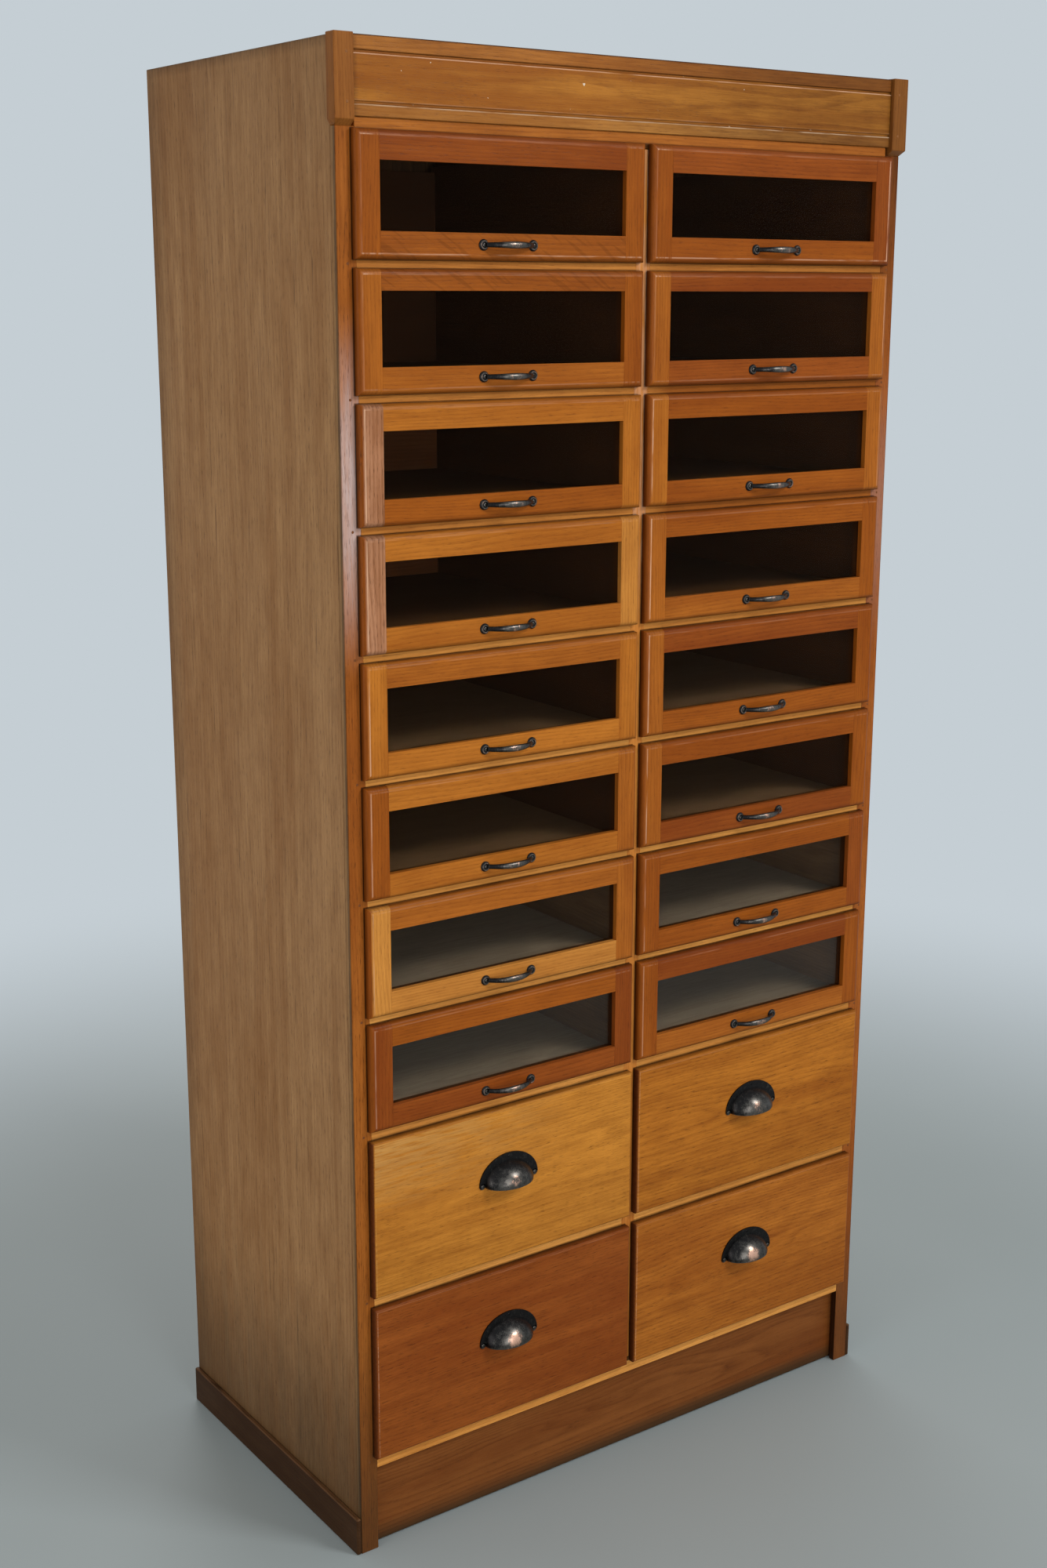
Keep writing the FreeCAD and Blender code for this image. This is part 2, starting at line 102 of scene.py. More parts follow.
# ---- material graphs --------------------------------------------------------------------------
def linear(shown: Display) -> tuple[float, float, float, float]:
    """Turn a display colour into the linear colour that a shader takes.

    Args:
        shown: The display colour.

    Returns:
        Red, green, blue and an alpha of one.
    """
    low, knee, power, gain = 0.04045, 0.055, 2.4, 12.92
    parts = [channel / 255 for channel in shown]
    made = [part / gain if part < low else ((part + knee) / (1 + knee)) ** power for part in parts]
    return made[0], made[1], made[2], 1.0


def scaled(shown: Display, shares: Sequence[float]) -> Display:
    """Multiply a display colour's red, green and blue by a share each."""
    red, green, blue = (min(255, round(part * share)) for part, share in zip(shown, shares))
    return red, green, blue


@dataclass(frozen=True)
class Wire:
    """What one socket of a graph gives; arithmetic with it adds Math nodes."""

    graph: "Graph"
    socket: bpy.types.NodeSocket

    def __add__(self, other: "Wire | float") -> "Wire":
        """Add a number."""
        return self.graph.math("ADD", self, other)

    def __sub__(self, other: "Wire | float") -> "Wire":
        """Take a number away."""
        return self.graph.math("SUBTRACT", self, other)

    def __mul__(self, other: "Wire | float") -> "Wire":
        """Multiply by a number."""
        return self.graph.math("MULTIPLY", self, other)


class Graph:
    """The node tree of a material or of the world, filled one node at a time."""

    def __init__(self, owner: bpy.types.Material | bpy.types.World) -> None:
        """Start with the owner's tree, emptied.

        Args:
            owner: The material or the world.
        """
        owner.use_nodes = True
        self.tree = owner.node_tree
        self.tree.nodes.clear()

    def node(self, kind: str, inputs: dict[int | str, object] | None = None, out: int | str = 0,
             **settings: object) -> Wire:
        """Add a node.

        Args:
            kind: The node type's name without its first part, ShaderNode.
            inputs: What each socket gets, a number, a colour, a vector or a wire.
            out: The output that is wanted.
            settings: The node's own settings, set before its sockets.

        Returns:
            What that output gives.
        """
        made = self.tree.nodes.new(f"ShaderNode{kind}")
        for key, value in settings.items():
            setattr(made, key, value)
        for key, value in (inputs or {}).items():
            if isinstance(value, Wire):
                self.tree.links.new(value.socket, made.inputs[key])
            else:
                made.inputs[key].default_value = value
        return Wire(self, made.outputs[out])

    def math(self, operation: str, *numbers: Wire | float) -> Wire:
        """Work out a Math node's operation on one or two numbers."""
        return self.node("Math", dict(enumerate(numbers)), operation=operation)

    def here(self) -> Wire:
        """Read the place on the object, in metres."""
        return self.node("TexCoord", out="Object")

    def mark(self, name: str, out: str = "Fac") -> Wire:
        """Read a mark that the piece's points carry."""
        return self.node("Attribute", out=out, attribute_name=name)

    def split(self, vector: Wire) -> list[Wire]:
        """Take a vector's three numbers apart."""
        made = self.node("SeparateXYZ", {0: vector}).socket.node
        return [Wire(self, socket) for socket in made.outputs]

    def noise(self, place: Wire, lumps: float, detail: float = 2.0, drawn_out: float = 1.0) -> Wire:
        """Sample soft noise.

        Args:
            place: Where to sample.
            lumps: Lumps per metre.
            detail: Octaves of finer noise.
            drawn_out: Lumps along Z for each one across it.

        Returns:
            A number around one half.
        """
        if drawn_out != 1.0:
            place = self.node("VectorMath", {0: place, 1: (1.0, 1.0, drawn_out)}, operation="MULTIPLY")
        return self.node("TexNoise", {"Vector": place, "Scale": lumps, "Detail": detail})

    def between(self, number: Wire, low: float, high: float) -> Wire:
        """Ease a number from zero at low to one at high."""
        return self.node("MapRange", {"Value": number, "From Min": low, "From Max": high},
                         interpolation_type="SMOOTHSTEP")

    def ramp(self, share: Wire, stops: Sequence[tuple[float, float]]) -> Wire:
        """Shape a share by a grey ramp.

        Args:
            share: A number from zero to one.
            stops: Places on the ramp and the value at each.

        Returns:
            The ramp's value.
        """
        made = self.node("ValToRGB", {0: share})
        elements = made.socket.node.color_ramp.elements
        while len(elements) < len(stops):
            elements.new(0.5)
        for element, (place, value) in zip(elements, stops):
            element.position = place
            element.color = (value, value, value, 1.0)
        return made

    def blend(self, share: Wire, first: Wire | Display, second: Wire | Display) -> Wire:
        """Mix two colours, where the share is how much of the second shows."""
        first, second = (linear(part) if isinstance(part, tuple) else part for part in (first, second))
        return self.node("Mix", {0: share, 6: first, 7: second}, out=2, data_type="RGBA")

    def bump(self, height: Wire, strength: float, depth: float) -> Wire:
        """Turn heights from zero to one into a bumped normal, with a depth in metres."""
        return self.node("Bump", {"Height": height, "Strength": strength, "Distance": depth})

    def sight(self) -> Wire:
        """Give one to rays that the camera or a mirror sees, and zero to rays that light."""
        seen, glossy, through = (
            self.node("LightPath", out=f"Is {kind} Ray") for kind in ("Camera", "Glossy", "Transmission"))
        return self.math("MAXIMUM", seen, self.math("MAXIMUM", glossy, through))

    def end(self, shader: Wire, kind: str = "Material") -> None:
        """Join a shader to the output."""
        out = self.tree.nodes.new(f"ShaderNodeOutput{kind}")
        self.tree.links.new(shader.socket, out.inputs["Surface"])

    def surface(self, inputs: dict[str, object]) -> None:
        """Add the main shader and join it to the output."""
        self.end(self.node("BsdfPrincipled", inputs))


# ---- finishes ---------------------------------------------------------------------------------
@dataclass(frozen=True)
class Finish:
    """A named finish, whose material is built once for each run of the grain."""

    name: str

    def material(self, run: Run = Run.UP, titled: bool = False) -> bpy.types.Material:
        """Make or fetch the material.

        Args:
            run: The direction of the grain.
            titled: True if the run is part of the material's name.

        Returns:
            The material.
        """
        title = f"{self.name}_{run.name.lower()}" if titled else self.name
        found = bpy.data.materials.get(title)
        if not found:
            found = bpy.data.materials.new(title)
            self.fill(Graph(found), run)
        return found

    def fill(self, graph: Graph, run: Run) -> None:
        """Fill the material's empty graph, which each finish does in its own way."""
        raise NotImplementedError


# the wood's noises: lumps per metre across the grain, octaves, and lumps along it for each one across
SWAY, SWELL = (9.0, 2.0, 0.18), (55.0, 3.0, 0.08)
FIBRES, STREAKS, BANDS = (650.0, 3.0, 0.035), (210.0, 3.0, 0.1), (42.0, 2.0, 0.05)
CLOUD, MOTTLE = (6.0, 2.0, 0.35), (46.0, 3.0, 0.4)
PORES, HAIRS = (1050.0, 1.0, 0.09), (420.0, 2.0, 0.022)
RING_SHADE = ((0.0, 0.5), (0.07, 1.0), (0.3, 0.5), (0.6, 0.12), (0.93, 0.0), (1.0, 0.5))
REFLECTION_REACH = 0.236             # half the height of a painted reflection, a pale patch, in metres
# shares of a tone's red, green and blue
LIGHT, DARK, RED, PORE = (1.16, 1.16, 1.2), (0.87, 0.79, 0.7), (0.96, 0.85, 0.72), (0.42, 0.34, 0.3)
# shares for the deep colour: real staining, and painted shade on the drawers' left mouldings
DEEP_LIGHT, DEEP_DARK = (1.17, 1.2, 1.2), (0.83, 0.8, 0.8)
# colours mixed in: a painted reflection of pale light, a darker foot, white paint, and dirt with painted
# shade
REFLECTED_LIGHT, FOOT_DARK, PAINT, GRIME_AND_SHADE = (206, 186, 182), (48, 39, 26), (226, 216, 196), (34, 18, 9)


@dataclass(frozen=True)
class Oak(Finish):
    """Oak under old varnish: growth rings, pores, fibres, uneven colour, a darker foot, and painted shade,
    highlights and reflection.
    """

    tone: Display
    figure: float = 0.3         # strength of the growth rings
    contrast: float = 1.0       # strength of fibres and streaks
    ring: float = 5.0           # mean width of a growth ring
    redness: float = 0.25       # how far patches turn redder
    pores: float = 0.36         # darkness of the pores
    roughness: float = 0.36
    specular: float = 0.08
    soil_top: float = 0.0       # height in mm up to which the foot is darker
    soil: float = 0.0           # how dark the foot is at the floor
    blush_height: float = 0.0   # height in mm of a painted reflection of pale light
    blush: float = 0.0          # strength of that painted reflection
    rays: float = 0.0           # strength of slanting ray flecks
    checks: float = 0.0         # strength of long dark hairlines
    specks: float = 0.0         # strength of small spots of white paint
    stained: Display = (140, 72, 18)    # colour of real staining on some pieces, and of painted shade on the drawers' left mouldings
    worn: Display = (224, 178, 146)     # colour of worn arrises and of painted highlights and sheen

    def like(self, name: str, tone: Display, **changes: object) -> "Oak":
        """Give the same oak another name and tone, and whatever else changes."""
        return replace(self, name=name, tone=tone, **changes)

    def fill(self, graph: Graph, run: Run) -> None:
        """Fill the graph for boards whose grain runs one way.

        Args:
            graph: The empty graph.
            run: The direction of the grain.
        """
        here = graph.here()
        height = graph.split(here)[2]
        start = graph.mark("grain_start", "Vector")
        axes = graph.split(graph.node("VectorMath", {0: here, 1: start}, operation="ADD"))
        wide, thick, along = (axes[axis] for axis in run.value)
        place = graph.node("CombineXYZ", {0: wide, 1: thick, 2: along})
        layers = [graph.noise(place, *layer) for layer in (FIBRES, STREAKS, BANDS, CLOUD, MOTTLE)]
        fibres, streaks, bands, cloud, _ = layers
        rings = self._rings(graph, place, wide, thick)
        pores = self._pores(graph, place, along, thick, rings)

        light, dark, red, pore = (scaled(self.tone, shares) for shares in (LIGHT, DARK, RED, PORE))
        shade = (rings - 0.35) * self.figure + 0.42
        for layer, strength in zip(layers, (0.7, 0.4, 0.7, 0.6, 0.7)):
            shade = shade + (layer - 0.5) * (strength * self.contrast)
        body = graph.blend(graph.node("Clamp", {0: shade}), light, dark)
        ruddy = graph.between(cloud + (bands - 0.5) * 0.6, 0.4, 0.68)
        body = graph.blend(ruddy * (self.redness * 2), body, red)
        # painted reflection: a pale patch of light at one height
        if self.blush:
            offset = graph.math("ABSOLUTE", height - self.blush_height * MM)
            patch = graph.between(offset, REFLECTION_REACH, 0.0) * self.blush
            body = graph.blend(patch * (fibres + streaks + (bands - 0.5)), body, REFLECTED_LIGHT)
        # the deep colour, where the piece marks it: real staining, and painted shade on the drawers' left
        # mouldings
        deep = graph.blend(streaks, scaled(self.stained, DEEP_LIGHT), scaled(self.stained, DEEP_DARK))
        body = graph.blend(graph.mark("stain"), body, deep)
        body = graph.blend(pores * self.pores, body, pore)
        # darker towards the floor
        if self.soil:
            top = self.soil_top * MM
            dirt = graph.between(height + (bands - 0.5) * (top * 0.7), top, 0.0)
            body = graph.blend(dirt * self.soil, body, FOOT_DARK)
        if self.specks:
            dots = graph.between(graph.noise(here, 95.0, 3.0), 0.715, 0.735)
            body = graph.blend(dots * self.specks, body, PAINT)
        # dirt and painted shade, where the piece marks them
        body = graph.blend(graph.mark("grime") * (streaks * 0.5 + 0.62), body, GRIME_AND_SHADE)
        # worn arrises and painted highlights and sheen, where the piece marks them
        body = graph.blend(graph.mark("rub") * graph.between(streaks, 0.3, 0.6), body, self.worn)
        graph.surface({"Base Color": body, "Roughness": (cloud - 0.5) * 0.25 + self.roughness,
                       "Specular IOR Level": self.specular,
                       "Normal": graph.bump(fibres * 0.35 - pores, 0.25, 0.0004)})

    def _rings(self, graph: Graph, place: Wire, wide: Wire, thick: Wire) -> Wire:
        """Draw growth rings round the pith, which wanders along the log.

        Args:
            graph: The graph.
            place: The place in the log.
            wide: Its first number, square to the grain.
            thick: Its second number, square to the grain.

        Returns:
            How dark the ring is.
        """
        lean = (graph.noise(place, *SWAY) - 0.5) * 0.05
        ripple = (graph.noise(place, *SWELL) - 0.5) * 0.006
        squares = [graph.math("POWER", part + lean, 2.0) for part in (wide, thick)]
        turns = graph.math("DIVIDE", graph.math("SQRT", squares[0] + squares[1]) + ripple, self.ring * MM)
        return graph.ramp(graph.math("FRACT", turns), RING_SHADE)

    def _pores(self, graph: Graph, place: Wire, along: Wire, thick: Wire, rings: Wire) -> Wire:
        """Scatter pores, most in the early part of each ring, with ray flecks and hairlines.

        Args:
            graph: The graph.
            place: The place in the log.
            along: Its number along the grain.
            thick: Its second number, square to the grain.
            rings: How dark the ring is.

        Returns:
            How much of a pore there is.
        """
        pores = graph.between(graph.noise(place, *PORES), 0.56, 0.72) * (rings * 0.6 + 0.4)
        if self.rays:
            slant = graph.node("CombineXYZ", {0: along * 95.0 + thick * 150.0, 1: thick * 34.0, 2: 0.0})
            flecks = graph.between(graph.noise(slant, 1.0, 1.0), 0.54, 0.66)
            pores = graph.math("MAXIMUM", pores, flecks * self.rays)
        if self.checks:
            hairs = graph.between(graph.noise(place, *HAIRS), 0.66, 0.73)
            pores = graph.math("MAXIMUM", pores, hairs * self.checks)
        return pores


@dataclass(frozen=True)
class Bronze(Finish):
    """Dark bronze whose high spots have worn to copper, painted paler to stand in for highlights too."""

    name: str = "worn_bronze"
    skin: Display = (37, 35, 35)
    # half-worn bronze, also painting the dome lighter, and worn copper, also painting highlights
    handled: Display = (88, 84, 79)
    worn: Display = (230, 180, 154)

    def fill(self, graph: Graph, run: Run) -> None:
        """Fill the material's empty graph.

        Args:
            graph: The graph.
            run: Not used, as a metal has no grain.
        """
        here = graph.here()
        scratch = graph.noise(here, 900.0, 4.0, 0.25)
        # worn spots and painted highlights, broken up by scratches
        rubbed_and_lit = graph.mark("wear") + (scratch + graph.noise(here, 160.0) - 1.0) * 0.7
        colour = graph.blend(graph.between(rubbed_and_lit, 0.0, 0.5), self.skin, self.handled)
        colour = graph.blend(graph.between(rubbed_and_lit, 0.55, 1.0), colour, self.worn)
        graph.surface({"Base Color": colour, "Metallic": 0.9, "Roughness": scratch * 0.2 + 0.2,
                       "Normal": graph.bump(scratch, 0.12, 0.0003)})


@dataclass(frozen=True)
class Glass(Finish):
    """Clear old window glass, a little wavy."""

    name: str = "clear_glass"
    index: float = 1.1              # how strongly it mirrors
    tint: Display = (255, 214, 176) # colour of what it mirrors

    def fill(self, graph: Graph, run: Run) -> None:
        """Fill the material's empty graph; light from the lamps goes straight through.

        Args:
            graph: The graph.
            run: Not used, as glass has no grain.
        """
        waves = graph.bump(graph.noise(graph.here(), 14.0, 1.0), 0.05, 0.002)
        clear = graph.node("BsdfPrincipled", {
            "Base Color": (0.9, 0.86, 0.8, 1.0), "Roughness": 0.02, "IOR": self.index,
            "Specular Tint": linear(self.tint), "Transmission Weight": 1.0, "Normal": waves})
        through = graph.node("BsdfTransparent", {"Color": (0.8, 0.82, 0.8, 1.0)})
        lamp_ray = graph.node("LightPath", out="Is Shadow Ray")
        graph.end(graph.node("MixShader", {0: lamp_ray, 1: clear, 2: through}))


@dataclass(frozen=True)
class Filler(Finish):
    """Brown wax over a sunk nail."""

    tone: Display

    def fill(self, graph: Graph, run: Run) -> None:
        """Fill the material's empty graph; wax has no grain, so the run isn't used."""
        speck = graph.noise(graph.here(), 1200.0)
        graph.surface({"Base Color": graph.blend(speck, self.tone, (58, 32, 20)), "Roughness": 0.6,
                       "Specular IOR Level": 0.1, "Normal": graph.bump(speck, 0.3, 0.0002)})


RUSSET = Oak("russet_oak", (130, 67, 22), redness=0.3)
RAYED = Oak("rayed_oak", (138, 76, 24), redness=0.3, rays=0.6)
AMBER = Oak("amber_oak", (140, 76, 21))
HONEY = Oak("honey_oak", (151, 87, 28))
GOLD = Oak("gold_oak", (165, 101, 34), redness=0.2)
STRAW = Oak("straw_oak", (182, 123, 54), redness=0.12)
# painted sheen: left members under a pale reflection of the room
SHEEN_VEILED = Oak("plum_oak", (158, 112, 80), figure=0.5, contrast=1.7, redness=0.2, pores=0.7)
SLAB_GOLD = Oak("gold_slab_oak", (160, 99, 32), figure=0.34, contrast=1.3, redness=0.15, pores=0.6,
                stained=(100, 50, 20))
SLAB_HONEY = SLAB_GOLD.like("honey_slab_oak", (154, 93, 32), redness=0.2)
SLAB_STRAW = SLAB_GOLD.like("straw_slab_oak", (174, 115, 42), figure=0.22, redness=0.16,
                            worn=(226, 180, 108))
SLAB_RUSSET = SLAB_GOLD.like("russet_slab_oak", (131, 71, 26), figure=0.2, contrast=1.2, redness=0.35)
SIDE_OAK = Oak("side_oak", (157, 118, 76), figure=0.2, contrast=1.15, ring=9.0, redness=0.12, roughness=0.5,
               specular=0.1, soil_top=400.0, soil=0.6, pores=0.6, checks=0.9)
# the right stile, with a faint painted reflection
STILE_OAK = Oak("stile_oak", (147, 84, 32), contrast=1.3, soil_top=420.0, soil=0.62, pores=0.6,
                blush_height=1390.0, blush=0.14, stained=(150, 110, 69))
# the left stile, with a strong painted reflection at mid height
REFLECTING_STILE = STILE_OAK.like("blushed_stile_oak", (150, 88, 32), contrast=1.4, soil_top=500.0, soil=0.7,
                               blush_height=1460.0, blush=0.68)
CAPITAL_OAK = Oak("capital_oak", (134, 84, 36), redness=0.1)
FRIEZE_OAK = Oak("frieze_oak", (152, 98, 37), figure=0.4, contrast=1.7, ring=8.0, redness=0.4, specks=0.8)
STRIP_OAK = Oak("strip_oak", (150, 96, 42), contrast=1.5)
LOW_STRIP_OAK = STRIP_OAK.like("low_strip_oak", (157, 107, 50), worn=(206, 176, 146))
RAIL_OAK = Oak("rail_oak", (184, 122, 56), redness=0.15)
PALE_RAIL_OAK = RAIL_OAK.like("pale_rail_oak", (206, 146, 72))
TOP_RAIL_OAK = Oak("top_rail_oak", (156, 94, 36), contrast=1.3, redness=0.12)
MUNTIN_OAK = Oak("muntin_oak", (188, 122, 54), figure=0.15, redness=0.1)
PLINTH_OAK = Oak("plinth_oak", (112, 66, 29), figure=0.4, redness=0.3, roughness=0.4, soil_top=34.0,
                 soil=0.85)
SKIRTING_OAK = Oak("skirting_oak", (63, 42, 24), contrast=1.6, redness=0.2, roughness=0.5,
                   worn=(108, 74, 46))
BACK_WOOD = Oak("back_wood", (139, 106, 71), figure=0.45, contrast=1.5, ring=7.0, redness=0.15,
                roughness=0.6, soil_top=260.0, soil=0.45, pores=0.6)
INSIDE_WOOD = Oak("inside_wood", (92, 62, 36), redness=0.1, roughness=0.6, specular=0.1)
# painted shade and light: darker and paler copies of the inside wood, for drawers that get less light and
# for those that get more
SHADED_BACK = INSIDE_WOOD.like("dark_back_wood", (66, 40, 21))
LIT_BACK = INSIDE_WOOD.like("lit_back_wood", (98, 60, 33))
BOX_WOOD = INSIDE_WOOD.like("drawer_side_wood", (74, 44, 22))
LIT_BOX_WOOD = INSIDE_WOOD.like("pale_side_wood", (116, 90, 60))
# painted shade: darker copies of the grey bottom for the upper rows
SHADED_BOTTOM = INSIDE_WOOD.like("brown_bottom_wood", (84, 58, 32), figure=0.15, contrast=0.5, redness=0.0,
                                roughness=0.65)
HALF_SHADED_BOTTOM = SHADED_BOTTOM.like("dusty_bottom_wood", (116, 92, 64))
GREY_BOTTOM = SHADED_BOTTOM.like("grey_bottom_wood", (142, 131, 112), specular=0.15)


# ---- shaping ----------------------------------------------------------------------------------
def block(corner: Sequence[float], opposite: Sequence[float]) -> BMesh:
    """Make a box.

    Args:
        corner: X, depth and Z of one corner.
        opposite: The same of the corner opposite to it.

    Returns:
        The mesh, with depth along Y from the stile face.
    """
    mesh = bmesh.new()
    bmesh.ops.create_cube(mesh, size=1.0)
    start, finish = Vector(corner), Vector(opposite)
    bmesh.ops.scale(mesh, vec=[abs(length) for length in finish - start], verts=mesh.verts)
    bmesh.ops.translate(mesh, vec=(finish + start) / 2, verts=mesh.verts)
    return mesh


def only(kind: type, parts: Iterable) -> list:
    """Pick the vertices or the edges out of what an operator made."""
    return [part for part in parts if isinstance(part, kind)]


def prism(outline: Sequence[Sequence[float]], travel: Sequence[float]) -> BMesh:
    """Extrude a flat outline.

    Args:
        outline: The corners of the outline, in order.
        travel: How far the outline is extruded along each axis.

    Returns:
        The solid, with its faces turned outwards.
    """
    mesh = bmesh.new()
    face = mesh.faces.new([mesh.verts.new(corner) for corner in outline])
    made = bmesh.ops.extrude_face_region(mesh, geom=[face])["geom"]
    bmesh.ops.translate(mesh, vec=travel, verts=only(BMVert, made))
    bmesh.ops.recalc_face_normals(mesh, faces=mesh.faces)
    return mesh


def joined(*meshes: BMesh) -> BMesh:
    """Put several meshes into the first one, and free the others.

    Args:
        meshes: The meshes.

    Returns:
        The first mesh, with the others in it.
    """
    whole = meshes[0]
    for other in meshes[1:]:
        carrier = bpy.data.meshes.new("carrier")
        other.to_mesh(carrier)
        whole.from_mesh(carrier)
        other.free()
        bpy.data.meshes.remove(carrier)
    return whole


def near(value: float, target: float) -> bool:
    """Tell whether two lengths are the same."""
    return abs(value - target) < 0.01


def step_up(value: float, low: float, high: float) -> float:
    """Rise from zero at low to one at high, in a straight line."""
    return min(1.0, max(0.0, (value - low) / (high - low)))


def bevel(mesh: BMesh, edges: list[BMEdge], width: float, segments: int) -> None:
    """Bevel edges by a width, in one flat facet or several round ones."""
    bmesh.ops.bevel(mesh, geom=edges, offset=width, offset_type="OFFSET", segments=segments,
                    profile=0.5, affect="EDGES", material=-1, clamp_overlap=True)


def round_over(mesh: BMesh, radius: float, chosen: Callable[[Vector], bool]) -> None:
    """Round the edges whose middles pass a test."""
    edges = [edge for edge in mesh.edges if chosen((edge.verts[0].co + edge.verts[1].co) / 2)]
    bevel(mesh, edges, radius, 6)


def ease(mesh: BMesh, width: float) -> None:
    """Take the sharpness off every long, sharp edge, by a small chamfer.

    Args:
        mesh: The mesh to work on.
        width: The width of the chamfer.
    """
    sharp, shortest = math.radians(50), 4.0
    bevel(mesh, [edge for edge in mesh.edges
                 if edge.calc_length() > shortest and edge.calc_face_angle(0.0) > sharp], width, 1)


def slice_by(mesh: BMesh, place: Sequence[float], normal: Sequence[float], **options: float) -> None:
    """Cut a mesh along a plane, with bisect_plane's own options."""
    bmesh.ops.bisect_plane(mesh, geom=list(mesh.verts) + list(mesh.edges) + list(mesh.faces),
                           plane_co=place, plane_no=normal, **options)


def score(mesh: BMesh, axis: int, *places: float) -> None:
    """Cut loops of edges right round a mesh without changing its shape.

    Args:
        mesh: The mesh to work on.
        axis: The axis that the loops are square to.
        places: Where along that axis they lie.
    """
    normal = Vector((0, 0, 0))
    normal[axis] = 1
    for place in places:
        slice_by(mesh, normal * place, normal, dist=0.0001)


def grain_start(name: str, middle: Vector, run: Run, facing: Facing, cut: Cut) -> Vector:
    """Choose where in the log a board was cut.

    Args:
        name: The piece's name, which seeds the choice.
        middle: The middle of the piece, in metres.
        run: The direction of its grain.
        facing: The way its show face looks.
        cut: How it was sawn.

    Returns:
        What is added to Object coordinates, so that the log's pith runs through zero.
    """
    dice = random.Random(name)
    along, through = run.value[2], facing.value
    beside = 3 - along - through
    place = Vector((0.0, 0.0, 0.0))
    place[along] = dice.uniform(-8.0, 8.0)
    place[beside] = dice.uniform(*((0.16, 0.3) if cut is Cut.STRAIGHT else (-0.02, 0.03)))
    place[through] = dice.uniform(*((0.02, 0.08) if cut is Cut.STRAIGHT else (0.045, 0.07)))
    return place - middle


def make_piece(mesh: BMesh, name: str, node: str, material: bpy.types.Material, body: str,
               slot: str | None = None, start: Vector | None = None, **marks: Mark) -> None:
    """Turn a shaped mesh into a finished piece.

    Args:
        mesh: The mesh, in millimetres, with depth along Y; it is freed.
        name: The piece's name.
        node: The CAD node that it stands for.
        material: Its material.
        body: The CAD body that it rides on.
        slot: The record's material slot, if it has one; not used.
        start: Where in the log the grain starts, if it is wood.
        marks: How much of each mark a point has, under its name: dirt with painted shade, worn arrises with
            painted highlights, and staining with painted shade.
    """
    for mark, amount in marks.items():
        layer = mesh.verts.layers.float.new(mark)
        for vert in mesh.verts:
            vert[layer] = amount(vert.co)
    bmesh.ops.translate(mesh, vec=(0.0, FACE_Y, 0.0), verts=mesh.verts)
    bmesh.ops.scale(mesh, vec=(MM, MM, MM), verts=mesh.verts)
    for face in mesh.faces:
        face.smooth = True
    data = bpy.data.meshes.new(name)
    mesh.to_mesh(data)
    mesh.free()
    data.set_sharp_from_angle(angle=math.radians(32))
    if start is not None:
        layer = data.attributes.new("grain_start", "FLOAT_VECTOR", "POINT")
        layer.data.foreach_set("vector", list(start) * len(data.vertices))
    data.materials.append(material)
    made = bpy.data.objects.new(name, data)
    bpy.context.scene.collection.objects.link(made)
    made.modifiers.new("even_shading", "WEIGHTED_NORMAL").keep_sharp = True
    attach(made, body)
    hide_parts(node)
    log.info("made %s on %s", name, body)


def board(mesh: BMesh, name: str, node: str, finish: Oak, run: Run, facing: Facing = Facing.FRONT,
          cut: Cut = Cut.STRAIGHT, body: str = CARCASS_BODY, slot: str = "rail_oak", **marks: Mark) -> None:
    """Finish a wooden piece.

    Args:
        mesh: Its shape, in millimetres.
        name: Its name.
        node: The CAD node that it stands for.
        finish: The oak it is made of.
        run: The direction of the grain.
        facing: The way its show face looks.
        cut: How it was sawn.
        body: The CAD body that it rides on.
        slot: The record's material slot.
        marks: How much of each mark a point has, under its name: dirt with painted shade, worn arrises with
            painted highlights, and staining with painted shade.
    """
    middle = sum((vert.co for vert in mesh.verts), Vector()) / len(mesh.verts)
    start = grain_start(name, (middle + Vector((0.0, FACE_Y, 0.0))) * MM, run, facing, cut)
    make_piece(mesh, name, node, finish.material(run, titled=True), body, slot, start, **marks)


# ---- carcass ----------------------------------------------------------------------------------
LIP = 6.0                       # how far a drawer front covers what is round its opening
ARRIS = 1.0                     # width of the worn line and painted highlight beside a moulded edge
FADE = 1.6                      # how far the painted shadow and dirt reach out from under a drawer front
RAIL_RED = {1: 0.35, 2: 0.75, 3: 0.75, 4: 0.2, 5: 0.2}      # redness of a rail's right half, by its number


def score_fronts(mesh: BMesh, rails: Rails) -> Mark:
    """Cut an upright piece where the drawer fronts beside it begin and end.

    Args:
        mesh: The piece.
        rails: The rails.

    Returns:
        A mark that is one beside a front and zero beside a bare rail.
    """
    fronts = [(lower[1] - LIP, upper[0] + LIP) for upper, lower in zip(rails, rails[1:])]
    for low, high in fronts:
        score(mesh, 2, low - FADE, low, high, high + FADE)
    return lambda point: max(min(step_up(point.z, low - FADE, low), step_up(point.z, high + FADE, high))
                             for low, high in fronts)


@dataclass
class Casework:
    """Sizes that the sides, the carcass, the crown and the front grid share."""

    rails: Rails = ()
    half_width: float = 462.5
    height: float = 1990.0
    depth: float = 496.0
    panel: float = 18.0
    stile_width: float = 27.0
    stile_thickness: float = 10.0
    capital_foot: float = 1889.0
    foot_line: float = 1900.0       # the underside of the frieze, on the top rail
    back_board: float = 8.0
    back_rebate: float = 9.0
    plinth_height: float = 125.0


